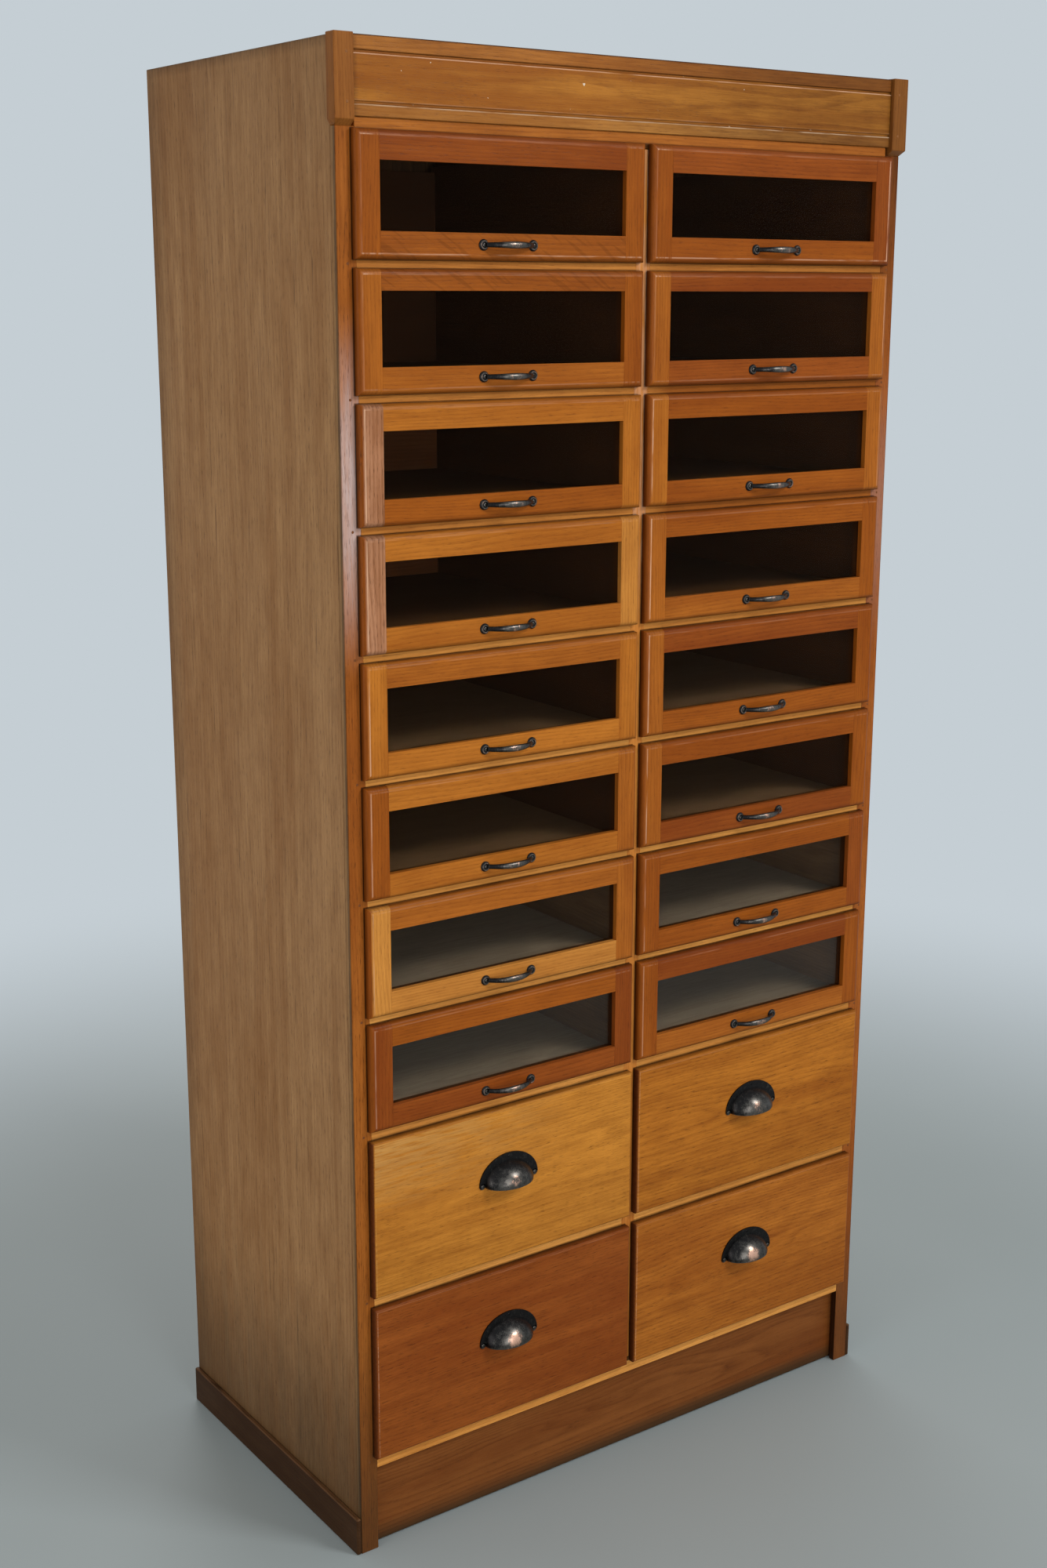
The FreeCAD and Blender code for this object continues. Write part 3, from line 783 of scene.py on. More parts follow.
@dataclass
class Flank(Casework):
    """One side of the carcass: its panel, its front stile and its skirting."""

    side: Side = Side.LEFT
    skirting_height: float = 55.0
    skirting_thickness: float = 7.0

    def build(self) -> None:
        """Build the three boards."""
        self._panel()
        self._stile()
        self._skirting()

    def _across(self, inset: float) -> float:
        """Find the X of what lies that far in from the outer face."""
        return self.side.value * (self.half_width - inset)

    def _panel(self) -> None:
        """Build the side panel, with the rebate for the back boards."""
        outer, inner = self._across(0.0), self._across(self.panel)
        rebate = self._across(self.panel - self.back_rebate)
        front, shoulder = self.stile_thickness, self.depth - self.back_board
        mesh = prism([(outer, front, 0), (inner, front, 0), (inner, shoulder, 0), (rebate, shoulder, 0),
                      (rebate, self.depth, 0), (outer, self.depth, 0)], (0, 0, self.height))
        ease(mesh, 0.8)
        seam, middle, back = front + 3.0, front + 150.0, self.depth - 50.0
        rim, smoky, foot = self.height - 14.0, self.height - 290.0, self.skirting_height + 14.0
        low_dark, inside = (360.0, 180.0), self.half_width - self.panel + 0.9
        score(mesh, 1, front + 1.0, seam, middle, back)
        score(mesh, 2, *low_dark, rim, self.height - 3.0, smoky, foot)
        # dirt and painted shade: painted shade on the inner face and along the front and back edges; darker
        # low at the back, along the top and just above the skirting
        board(mesh, f"side_board_{self.side.label}", f"side_panel_{self.side.label}", SIDE_OAK, Run.UP,
              Facing.SIDE, slot="side_oak", grime=lambda point: max(
                  0.8 * float(abs(point.x) < inside and point.y > front + 0.9),
                  0.25 * step_up(point.y, seam, front + 1.0),
                  0.34 * step_up(point.y, back, self.depth - 4.0),
                  0.25 * step_up(point.z, *low_dark) * step_up(point.y, back, middle),
                  0.7 * step_up(point.z, rim, self.height) ** 2, 0.1 * step_up(point.z, smoky, self.height),
                  0.5 * step_up(point.z, foot, self.skirting_height)))

    def _stile(self) -> None:
        """Build the front stile."""
        mesh = block((self._across(0.0), 0, 0),
                     (self._across(self.stile_width), self.stile_thickness, self.capital_foot))
        ease(mesh, 0.6)
        rim, edge, inner = 1.8, 5.0, self.half_width - self.stile_width
        covered = inner + LIP
        score(mesh, 0, self.side.value * (covered + FADE), self.side.value * covered, self._across(rim))
        score(mesh, 1, edge, edge - 1.5)
        beside = score_fronts(mesh, self.rails)
        score(mesh, 2, self.plinth_height)
        # the left stile gets the strong painted reflection, the right one a darker top
        right_dark, finish = (0.0, REFLECTING_STILE) if self.side is Side.LEFT else (0.75, STILE_OAK)
        # painted shadow beside the drawer fronts and on the inner face below the bottom rail, a dark line
        # along the outer arris, and the side face in the side panel's colour
        board(mesh, f"front_stile_{self.side.label}", f"stile_{self.side.label}", finish, Run.UP,
              slot="stile_oak", grime=lambda point: max(
                  step_up(abs(point.x), covered + FADE, covered) * beside(point),
                  right_dark * step_up(point.z, 1560.0, self.capital_foot),
                  0.6 * step_up(abs(point.x), self.half_width - rim, self.half_width - 0.6)
                  * step_up(point.y, edge, edge - 1.5),
                  float(abs(point.x) < inner + 0.3 and point.z < self.plinth_height + 0.01)),
              stain=lambda point: float(abs(point.x) > self.half_width - 0.1))

    def _skirting(self) -> None:
        """Build the dark strip along the foot."""
        mesh = block((self._across(0.0), 0, 0),
                     (self._across(-self.skirting_thickness), self.depth, self.skirting_height))
        ease(mesh, 1.4)
        edge = self.skirting_height - 1.4
        score(mesh, 2, edge - ARRIS)
        # lighter along the top arris
        board(mesh, f"foot_strip_{self.side.label}", f"skirting_{self.side.label}", SKIRTING_OAK, Run.BACK,
              Facing.SIDE, slot="skirting_wood",
              rub=lambda point: 0.7 * step_up(point.z, edge - ARRIS, edge))


@dataclass
class Carcass(Casework):
    """Both sides, the plinth, the top, the back and the nails."""

    back_boards: int = 6
    back_gap: float = 20.0
    top_board: float = 18.0
    plinth_setback: float = 13.0
    plinth_thickness: float = 16.0
    plinth_gap: float = 2.0

    def build(self) -> None:
        """Build every piece of the carcass, and dress the CAD pieces that keep their shape."""
        for side in Side:
            Flank(self.rails, side=side).build()
        reach = self.half_width - self.panel
        mesh = block((-reach, self.plinth_setback, self.plinth_gap),
                     (reach, self.plinth_setback + self.plinth_thickness, self.plinth_height))
        ease(mesh, 0.8)
        board(mesh, "plinth_front", "plinth_board", PLINTH_OAK, Run.ACROSS, cut=Cut.CROWN,
              slot="plinth_wood")
        mesh = block((-reach, self.stile_thickness, self.height - self.top_board),
                     (reach, self.depth - self.back_board, self.height))
        ease(mesh, 0.5)
        board(mesh, "top_panel", "top_board", SIDE_OAK, Run.ACROSS, Facing.TOP, Cut.CROWN, slot="side_oak")
        self._back(reach + self.back_rebate)
        kept = {"centre_partition": Run.UP, "drawer_runners": Run.BACK, "bottom_board": Run.ACROSS}
        for node, run in kept.items():
            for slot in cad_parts[node].material_slots:
                slot.material = INSIDE_WOOD.material(run, titled=True)
        self._nails()

    def _back(self, reach: float) -> None:
        """Build the upright back boards.

        Args:
            reach: Half the width of the back.
        """
        half, top, foot = reach / self.back_boards, self.height, self.back_gap
        arris, inside = 1.2, self.depth - self.back_board + 1.1
        for number in range(self.back_boards):
            middle = -reach + (2 * number + 1) * half
            left, right = middle - half, middle + half
            mesh = block((left, self.depth - self.back_board, foot), (right, self.depth, top))
            ease(mesh, 1.0)
            score(mesh, 0, left + 4.0, left + arris, right - arris, right - 4.0)
            score(mesh, 2, foot + 30.0, top - 12.0, top - 60.0)
            # painted shade on the inner face, seen through the glass; dark joints between the planks; darker
            # at the top and the foot
            board(mesh, f"back_plank_{number + 1}", "back_boards", BACK_WOOD, Run.UP,
                  cut=Cut.CROWN if number % 2 else Cut.STRAIGHT, slot="inner_wood", grime=lambda point: max(
                      0.9 * float(point.y < inside),
                      0.8 * step_up(abs(point.x - middle), half - 4.0, half - arris),
                      0.35 * step_up(point.z, top - 60.0, top - 12.0),
                      0.5 * step_up(point.z, foot + 30.0, foot)))

    def _nails(self) -> None:
        """Build the nails through the stiles and the capitals, whose heads were filled with wax."""
        inset, capital_inset, from_top, spacing, proud = 15.0, 13.0, 20.0, 55.0, 9.0
        radius, rise, length = 1.8, 0.2, 7.5
        profile = [(0.0, -rise), (radius * 0.7, -rise), (radius, 0.0), (radius, length), (0.0, length)]
        heights = [(low + high) / 2 for low, high in self.rails[1:]]
        top = self.height - from_top
        for name, across, depth, places, filler in (
                ("stile_nails", self.half_width - inset, 0.0, heights, Filler("nail_filler", (148, 90, 50))),
                ("capital_nails", self.half_width - capital_inset, -proud, (top, top - spacing),
                 Filler("worn_filler", (176, 116, 66)))):
            nails = [turned(profile, Vector((side.value * across, depth, place)), 12)
                     for side in Side for place in places]
            make_piece(joined(*nails), name, "face_nails", filler.material(), CARCASS_BODY, "nail_steel")


@dataclass
class Crown(Casework):
    """The frieze boards between two capitals."""

    proud: float = 3.0
    bottom_strip: float = 14.0
    frieze: float = 60.0
    top_strip: float = 17.0
    groove: float = 3.4
    groove_depth: float = 2.0
    capital_width: float = 27.0
    capital_proud: float = 9.0
    capital_side_proud: float = 4.0
    capital_rise: float = 2.0
    foot_height: float = 7.0
    corner: float = 9.0             # how far painted shade reaches out of the corners at the capitals

    def __post_init__(self) -> None:
        """Find half the length of the frieze, and where it starts and ends to darken."""
        self.reach = self.half_width + self.capital_side_proud - self.capital_width
        self.smoky = (-0.2 * self.reach, 0.6 * self.reach)

    def build(self) -> None:
        """Build both capitals and the three frieze boards."""
        for side in Side:
            self._capital(side)
        self._strip(False)
        self._panel()
        self._strip(True)

    def _dirt(self, mesh: BMesh, right_dark: float) -> Mark:
        """Cut a board where its painted shade and darkening start and end along it.

        Args:
            mesh: The board.
            right_dark: How dark it is at its right end.

        Returns:
            The painted shade in its corners, and the darkening towards that end.
        """
        score(mesh, 0, self.corner - self.reach, *self.smoky, self.reach - self.corner)
        return lambda point: max(0.6 * step_up(abs(point.x), self.reach - self.corner, self.reach),
                                 right_dark * step_up(point.x, *self.smoky))

    def _strip(self, upper: bool) -> None:
        """Build a plain strip of the frieze.

        Args:
            upper: True for the one over the panel.
        """
        low, high = self.foot_line, self.foot_line + self.bottom_strip
        name, node, finish = "frieze_lower_strip", "frieze_bottom_strip", LOW_STRIP_OAK
        # how dark the top edge is, how strong its painted highlight is, and the width of those bands
        dark, worn, edge = 0.0, 0.7, 2.0
        if upper:
            low, high = high + self.frieze, high + self.frieze + self.top_strip
            name, node, finish = "frieze_upper_strip", "frieze_top_strip", STRIP_OAK
            dark, worn = 0.9, 0.0
        mesh = block((-self.reach, -self.proud, low), (self.reach, self.stile_thickness, high))
        ease(mesh, 0.7)
        dirt = self._dirt(mesh, 0.52)
        score(mesh, 2, low + edge, high - edge)
        # painted shade in the corners and along the lower edge, darker towards the right and along the upper
        # strip's top edge, and a painted highlight along the lower strip's top edge
        board(mesh, name, node, finish, Run.ACROSS, slot="stile_oak",
              rub=lambda point: worn * step_up(point.z, high - edge, high - 0.7),
              grime=lambda point: max(dirt(point), dark * step_up(point.z, high - edge, high - 0.7),
                                      0.4 * step_up(point.z, low + edge, low)))

    def _panel(self) -> None:
        """Build the frieze panel with a scratched groove along both edges."""
        low = self.foot_line + self.bottom_strip
        high, face, floor = low + self.frieze, -self.proud, self.groove_depth - self.proud
        corners = [(floor, low), (floor, low + self.groove), (face, low + self.groove),
                   (face, high - self.groove), (floor, high - self.groove), (floor, high),
                   (self.stile_thickness, high), (self.stile_thickness, low)]
        mesh = prism([(-self.reach, *corner) for corner in corners], (2 * self.reach, 0, 0))
        ease(mesh, 0.7)
        lower, upper = low + self.groove + 0.7, high - self.groove - 0.7
        dirt = self._dirt(mesh, 0.38)
        score(mesh, 2, lower, lower + ARRIS, upper - ARRIS, upper)
        # painted shade in the corners and the grooves, darker towards the right, and painted highlights
        # along the face's arrises beside the grooves
        board(mesh, "frieze_board", "frieze_panel", FRIEZE_OAK, Run.ACROSS, cut=Cut.CROWN,
              grime=lambda point: max(dirt(point), 0.2 * step_up(point.y, face + 0.8, floor)),
              rub=lambda point: float(point.y < face + 0.9) * max(
                  0.25 * step_up(point.z, lower + ARRIS, lower),
                  0.75 * step_up(point.z, upper - ARRIS, upper)))

    def _capital(self, side: Side) -> None:
        """Build a capital with its chamfered foot.

        Args:
            side: Which side.
        """
        outer = self.half_width + self.capital_side_proud
        inner, shoulder = outer - self.capital_width, self.capital_foot + self.foot_height
        mesh = block((side.value * outer, -self.capital_proud, shoulder),
                     (side.value * inner, self.stile_thickness, self.height + self.capital_rise))
        under = min(mesh.faces, key=lambda face: face.calc_center_median().z)
        foot = bmesh.ops.extrude_discrete_faces(mesh, faces=[under])["faces"][0]
        narrow = (self.half_width - inner) / self.capital_width
        thin = self.stile_thickness / (self.stile_thickness + self.capital_proud)
        anchor = Matrix.Translation(Vector((-side.value * inner, -self.stile_thickness, -shoulder)))
        bmesh.ops.scale(mesh, vec=(narrow, thin, 1.0), space=anchor, verts=foot.verts)
        bmesh.ops.translate(mesh, vec=(0, 0, -self.foot_height), verts=foot.verts)
        ease(mesh, 0.9)
        # the right capital is darker all over
        right_dark = 0.38 if side is Side.RIGHT else 0.0
        board(mesh, f"corner_capital_{side.label}", f"capital_{side.label}", CAPITAL_OAK, Run.UP,
              slot="stile_oak", grime=lambda point: right_dark)


@dataclass
class Grid(Casework):
    """The front rails and the muntin that crosses them."""

    rail_depth: float = 45.0
    muntin_edge: float = 11.5
    muntin_thickness: float = 22.0
    muntin_joint: float = 0.8
    pale: tuple[float, float] = (1260.0, 1420.0)    # where the painted sheen on the muntin starts and ends

    def build(self) -> None:
        """Build every rail and the muntin."""
        for number, (low, high) in enumerate(self.rails):
            self._rail(number, low, high)
        mesh = block((-self.muntin_edge, 0, self.rails[-1][1]),
                     (self.muntin_edge, self.muntin_thickness, self.rails[0][0] - self.muntin_joint))
        ease(mesh, 0.5)
        bare = self.muntin_edge - LIP
        score(mesh, 0, -bare, FADE - bare, bare - FADE, bare)
        score(mesh, 2, *self.pale)
        beside = score_fronts(mesh, self.rails)
        # painted shadow beside the drawer fronts, and a painted sheen high up
        board(mesh, "centre_muntin", "muntin", MUNTIN_OAK, Run.UP,
              grime=lambda point: step_up(abs(point.x), bare - FADE, bare) * beside(point),
              rub=lambda point: 0.35 * step_up(point.z, *self.pale) * float(point.y < 0.1))

    def _rail(self, number: int, low: float, high: float) -> None:
        """Build one rail.

        Args:
            number: Its number from the top, from zero.
            low: Its underside.
            high: Its upper face.
        """
        edge, end, notch = self.half_width - self.stile_width, self.half_width - self.panel, self.muntin_edge
        thick, last = self.stile_thickness, len(self.rails) - 1
        middle = [] if number in (0, last) else [
            (-notch, 0), (-notch, self.muntin_thickness), (notch, self.muntin_thickness), (notch, 0)]
        corners = [(-edge, 0), *middle, (edge, 0), (edge, thick), (end, thick), (end, self.rail_depth),
                   (-end, self.rail_depth), (-end, thick), (-edge, thick)]
        mesh = prism([(*corner, low) for corner in corners], (0, 0, high - low))
        ease(mesh, 0.5)
        top = high + LIP if number == 0 else high - LIP
        bottom = low - LIP if number == last else low + LIP
        under = 3.6 if last - 2 <= number < last else FADE
        score(mesh, 2, bottom, bottom + under, top - FADE, top)
        red, turn = RAIL_RED.get(number, 0.0), (notch + 1.0, notch + 40.0)
        score(mesh, 0, *turn)
        finish = TOP_RAIL_OAK if number == 0 else RAIL_OAK if number < 4 else PALE_RAIL_OAK
        # painted shadow under and over the drawer fronts, wider above the plain drawers; some rails redder
        # on the right
        board(mesh, f"rail_{number + 1}", "front_rails", finish, Run.ACROSS,
              grime=lambda point: max(step_up(point.z, bottom + under, bottom),
                                      step_up(point.z, top - FADE, top)),
              stain=lambda point: red * step_up(point.x, *turn))


# ---- pulls ------------------------------------------------------------------------------------
def turned(profile: Sequence[tuple[float, float]], middle: Vector, steps: int) -> BMesh:
    """Turn a profile about an axis that runs straight back through a point.

    Args:
        profile: Radius and depth at each point, starting and ending on the axis.
        middle: The point, whose depth is added to the profile's.
        steps: Facets round the axis.

    Returns:
        The turned solid.
    """
    mesh = bmesh.new()
    verts = [mesh.verts.new((radius, depth, 0.0)) for radius, depth in profile]
    edges = [mesh.edges.new(pair) for pair in zip(verts, verts[1:])]
    bmesh.ops.spin(mesh, geom=verts + edges, cent=(0, 0, 0), axis=(0, 1, 0), dvec=(0, 0, 0),
                   angle=math.tau, steps=steps, use_merge=True, use_duplicate=False)
    bmesh.ops.remove_doubles(mesh, verts=mesh.verts, dist=0.001)
    bmesh.ops.recalc_face_normals(mesh, faces=mesh.faces)
    bmesh.ops.translate(mesh, vec=middle, verts=mesh.verts)
    return mesh


def screw_head(middle: Vector, radius: float, rise: float) -> BMesh:
    """Make a slotted round head on its shank.

    Args:
        middle: The middle of the face that the head sits on.
        radius: The head's radius.
        rise: The head's height.

    Returns:
        The mesh.
    """
    shank, length, slot, sunk = 1.6, 9.0, 0.45, 0.6
    mesh = turned([(0.0, -rise), (radius * 0.6, -rise * 0.92), (radius * 0.9, -rise * 0.5), (radius, 0.0),
                   (shank, 0.0), (shank, length), (0.0, length)], Vector((0, 0, 0)), 16)
    for offset in (-slot, slot):
        slice_by(mesh, (offset, 0, 0), (1, 0, 0))
    strip = [face for face in mesh.faces if abs(face.calc_center_median().x) < slot
             and face.calc_center_median().y < -rise * 0.4]
    moved = bmesh.ops.extrude_face_region(mesh, geom=strip)["geom"]
    bmesh.ops.delete(mesh, geom=strip, context="FACES_ONLY")
    bmesh.ops.translate(mesh, vec=(0, sunk, 0), verts=only(BMVert, moved))
    bmesh.ops.rotate(mesh, cent=(0, 0, 0), matrix=Matrix.Rotation(middle.x * 1.7 + middle.z, 3, "Y"),
                     verts=mesh.verts)
    bmesh.ops.translate(mesh, vec=middle, verts=mesh.verts)
    return mesh


@dataclass
class Pull:
    """A bronze pull on a drawer, held by two screws."""

    drawer: "Drawer"
    z: float                        # height of its two screws
    kind: str = ""
    front: float = -12.0

    def finish(self, mesh: BMesh, part: str, wear: Mark) -> None:
        """Finish one of its pieces.

        Args:
            mesh: The piece.
            part: The end of its name.
            wear: How far a point has worn to copper, with its painted highlights.
        """
        place = f"pull_{self.drawer.row}_{self.drawer.side.label}"
        make_piece(mesh, f"{place}_{part}", f"{self.kind}_{place}", Bronze().material(), self.drawer.body,
                   "pull_bronze", wear=wear)

    def screws(self, apart: float, depth: float, radius: float, rise: float) -> None:
        """Drive both screws.

        Args:
            apart: Half the distance between them.
            depth: The depth of the face that they sit on.
            radius: The radius of their heads.
            rise: The height of their heads.
        """
        for side in Side:
            middle = Vector((self.drawer.x + side.value * apart, depth, self.z))
            self.finish(screw_head(middle, radius, rise), f"screw_{side.label}", lambda point: 0.3)


@dataclass
class BowPull(Pull):
    """An arched bar between two screwed rosettes."""

    kind: str = "bow"
    centres: float = 75.0
    rosette: float = 7.0
    rosette_thickness: float = 3.0
    reach: float = 22.0
    end_radius: float = 3.0
    middle_radius: float = 4.5
    sections: int = 15
    around: int = 14

    def build(self) -> None:
        """Build the bar with its rosettes, and both screws."""
        x, half, wide, tall = self.drawer.x, self.centres / 2, self.rosette, self.rosette_thickness
        profile = [(0.0, 0.8 - tall), (wide * 0.5, 0.8 - tall), (wide * 0.58, -tall), (wide * 0.74, -tall),
                   (wide * 0.86, -tall * 0.75), (wide * 0.92, -tall * 0.45), (wide, -tall * 0.3),
                   (wide, 0.0), (0.0, 0.0)]
        rosettes = [turned(profile, Vector((x + side.value * half, self.front, self.z)), 24)
                    for side in Side]
        # worn spots and a painted highlight along the middle of the bar, and worn rings on the rosettes
        self.finish(joined(self._bar(), *rosettes), "bar", lambda point: max(
            0.72 * math.exp(-(((point.x - x) / 18) ** 2)) * step_up(self.front - point.y, 0.0, self.reach),
            0.6 * self._on_ring(point)))
        self.screws(half, self.front - tall + 0.6, 2.6, 1.0)

    def _on_ring(self, point: Vector) -> bool:
        """Tell whether a point lies on the raised ring of a rosette."""
        off = math.hypot(abs(point.x - self.drawer.x) - self.centres / 2, point.z - self.z) / self.rosette
        return 0.5 < off < 0.8 and near(point.y, self.front - self.rosette_thickness)

    def _station(self, share: float) -> Matrix:
        """Place one section of the bar.

        Args:
            share: From -1 at one rosette to 1 at the other.

        Returns:
            The matrix that takes a unit circle in XY there.
        """
        span, bend = self.centres / 2 - self.rosette * 0.45, 2.4
        rise = self.reach - self.middle_radius - self.end_radius - 1.0
        slope = bend * rise * abs(share) ** (bend - 1.0) * (1 if share > 0 else -1) / span
        swell = math.exp(-((share / 0.62) ** 2))
        radius = self.end_radius + (self.middle_radius - self.end_radius) * swell
        lift = self.front - self.end_radius - 0.6 - rise * (1.0 - abs(share) ** bend)
        turn = Matrix.Rotation(math.atan(slope), 4, "Z") @ Matrix.Rotation(math.pi / 2, 4, "Y")
        flat = Matrix.Diagonal((radius, radius * 0.8, 1.0, 1.0))
        return Matrix.Translation((span * share, lift, 0.0)) @ turn @ flat

    def _bar(self) -> BMesh:
        """Sweep the bar from rosette to rosette.

        Returns:
            The bar.
        """
        mesh = bmesh.new()
        turns = [2 * step / self.sections - 1 for step in range(self.sections + 1)]
        shares = [math.sin(math.pi / 2 * turn) for turn in turns]
        ring = bmesh.ops.create_circle(mesh, cap_ends=False, radius=1.0, segments=self.around)["verts"]
        place = self._station(shares[0])
        bmesh.ops.transform(mesh, matrix=place, verts=ring)
        edges = list(mesh.edges)
        bmesh.ops.edgeloop_fill(mesh, edges=edges)
        for share in shares[1:]:
            made = bmesh.ops.extrude_edge_only(mesh, edges=edges)["geom"]
            edges, following = only(BMEdge, made), self._station(share)
            bmesh.ops.transform(mesh, matrix=following @ place.inverted(), verts=only(BMVert, made))
            place = following
        bmesh.ops.edgeloop_fill(mesh, edges=edges)
        bmesh.ops.recalc_face_normals(mesh, faces=mesh.faces)
        bmesh.ops.translate(mesh, vec=(self.drawer.x, 0, self.z), verts=mesh.verts)
        return mesh


@dataclass
class CupPull(Pull):
    """A half-dome shell with a flat border and two screw ears."""

    kind: str = "cup"
    half_width: float = 49.0
    height: float = 40.0
    border: float = 10.0
    plate: float = 2.0
    reach: float = 26.99
    soften: float = 0.9             # how gently the dome rises from the border at its top
    # strength of the worn spot and painted highlight on the dome
    wear: float = 0.6
    wall: float = 1.6
    lip_drop: float = 4.0
    ear: float = 5.0

    def build(self) -> None:
        """Build the cup with its pin, and both screws."""
        x, plate, ear = self.drawer.x, self.front - self.plate, self.half_width - self.ear
        profile = [(0.0, -self.plate), (self.ear - 0.7, -self.plate), (self.ear, 0.7 - self.plate),
                   (self.ear, 0.0), (0.0, 0.0)]
        ears = [turned(profile, Vector((side.value * ear, self.front, 0.0)), 24) for side in Side]
        pin = screw_head(Vector((0, plate, self.height - self.border * 0.45)), 1.7, 0.8)
        mesh = joined(self._shell(), self._border(), *ears, pin)
        bmesh.ops.translate(mesh, vec=(x, 0, self.z), verts=mesh.verts)
        spot, lip = Vector((x - 5.0, self.front - 23.0, self.z + 7.0)), self.z - self.lip_drop + 0.5
        # worn spots and painted highlights: a spot on the dome, a line along its lip, and its front
        self.finish(mesh, "cup", lambda point: max(
            self.wear * math.exp(-((point - spot).length / 14.0) ** 2),
            0.5 * step_up(point.z, lip + 0.5, lip),
            0.36 * step_up(self.front - point.y, self.plate + 4.0, self.reach)))
        self.screws(ear, plate, 3.0, 1.2)

    def _shell(self) -> BMesh:
        """Make the dome, open below and behind.

        Returns:
            The dome.
        """
        mesh = bmesh.new()
        bmesh.ops.create_uvsphere(mesh, u_segments=40, v_segments=24, radius=1.0)
        bmesh.ops.rotate(mesh, cent=(0, 0, 0), matrix=Matrix.Rotation(math.pi / 2, 3, "Y"), verts=mesh.verts)
        for vert in mesh.verts:
            flatter = abs(vert.co.y) ** (1.0 + self.soften * max(vert.co.z, 0.0))
            vert.co.y = math.copysign(flatter, vert.co.y)
        size = (self.half_width - self.border, self.reach, self.height - self.border)
        bmesh.ops.scale(mesh, vec=size, verts=mesh.verts)
        slice_by(mesh, (0, 0, 0), (0, 1, 0), clear_outer=True)
        slice_by(mesh, (0, 0, -self.lip_drop), (0, 0, -1), clear_outer=True)
        bmesh.ops.recalc_face_normals(mesh, faces=mesh.faces)
        if sum(face.normal.dot(face.calc_center_median()) for face in mesh.faces) < 0:
            bmesh.ops.reverse_faces(mesh, faces=mesh.faces)
        bmesh.ops.solidify(mesh, geom=list(mesh.faces), thickness=self.wall)
        bmesh.ops.translate(mesh, vec=(0, self.front, 0), verts=mesh.verts)
        return mesh

    def _border(self) -> BMesh:
        """Make the flat border that follows the dome.

        Returns:
            The border.
        """
        mesh = bmesh.new()
        bmesh.ops.create_circle(mesh, cap_ends=True, radius=1.0, segments=64)
        bmesh.ops.rotate(mesh, cent=(0, 0, 0), matrix=Matrix.Rotation(math.pi / 2, 3, "X"), verts=mesh.verts)
        bmesh.ops.scale(mesh, vec=(self.half_width, 1.0, self.height), verts=mesh.verts)
        disc = list(mesh.faces)
        bmesh.ops.inset_region(mesh, faces=disc, thickness=self.border + 1.0, use_boundary=True,
                               use_even_offset=True)
        bmesh.ops.delete(mesh, geom=disc, context="FACES")
        slice_by(mesh, (0, 0, 0), (0, 0, -1), clear_outer=True)
        made = bmesh.ops.extrude_face_region(mesh, geom=list(mesh.faces))["geom"]
        bmesh.ops.translate(mesh, vec=(0, -self.plate, 0), verts=only(BMVert, made))
        bmesh.ops.recalc_face_normals(mesh, faces=mesh.faces)
        bmesh.ops.translate(mesh, vec=(0, self.front, 0), verts=mesh.verts)
        return mesh


# ---- drawers ----------------------------------------------------------------------------------
LIT_ROW = 7                    # drawers from this row down get paler, lit copies of the box wood and the grey bottom; the rows above get darker copies as painted shade
BOTTOMS = {**dict.fromkeys((1, 2, 3, 4), SHADED_BOTTOM), 5: HALF_SHADED_BOTTOM, 6: HALF_SHADED_BOTTOM}
GLASS = {7: Glass("dusty_glass", 1.13, (255, 240, 226)), 8: Glass("dull_glass", 1.24, (255, 244, 232))}
# painted highlight and wearing by row, of the left arris, the right one, the left end of the upper one and
# the lower one
RUB_AND_HIGHLIGHT = {1: 0.15, 2: 0.2, 3: 0.85, 4: 0.85, 5: 0.7, 6: 0.6, 9: 0.3, 10: 0.35}
FAR_RUB_AND_HIGHLIGHT = {(1, Side.RIGHT): 0.9, (2, Side.RIGHT): 0.6, (3, Side.RIGHT): 0.3}
CORNER_RUB_AND_HIGHLIGHT = {1: 0.8, 2: 0.7, 3: 0.4}
FOOT_RUB_AND_HIGHLIGHT = {1: 0.55, 2: 0.2}


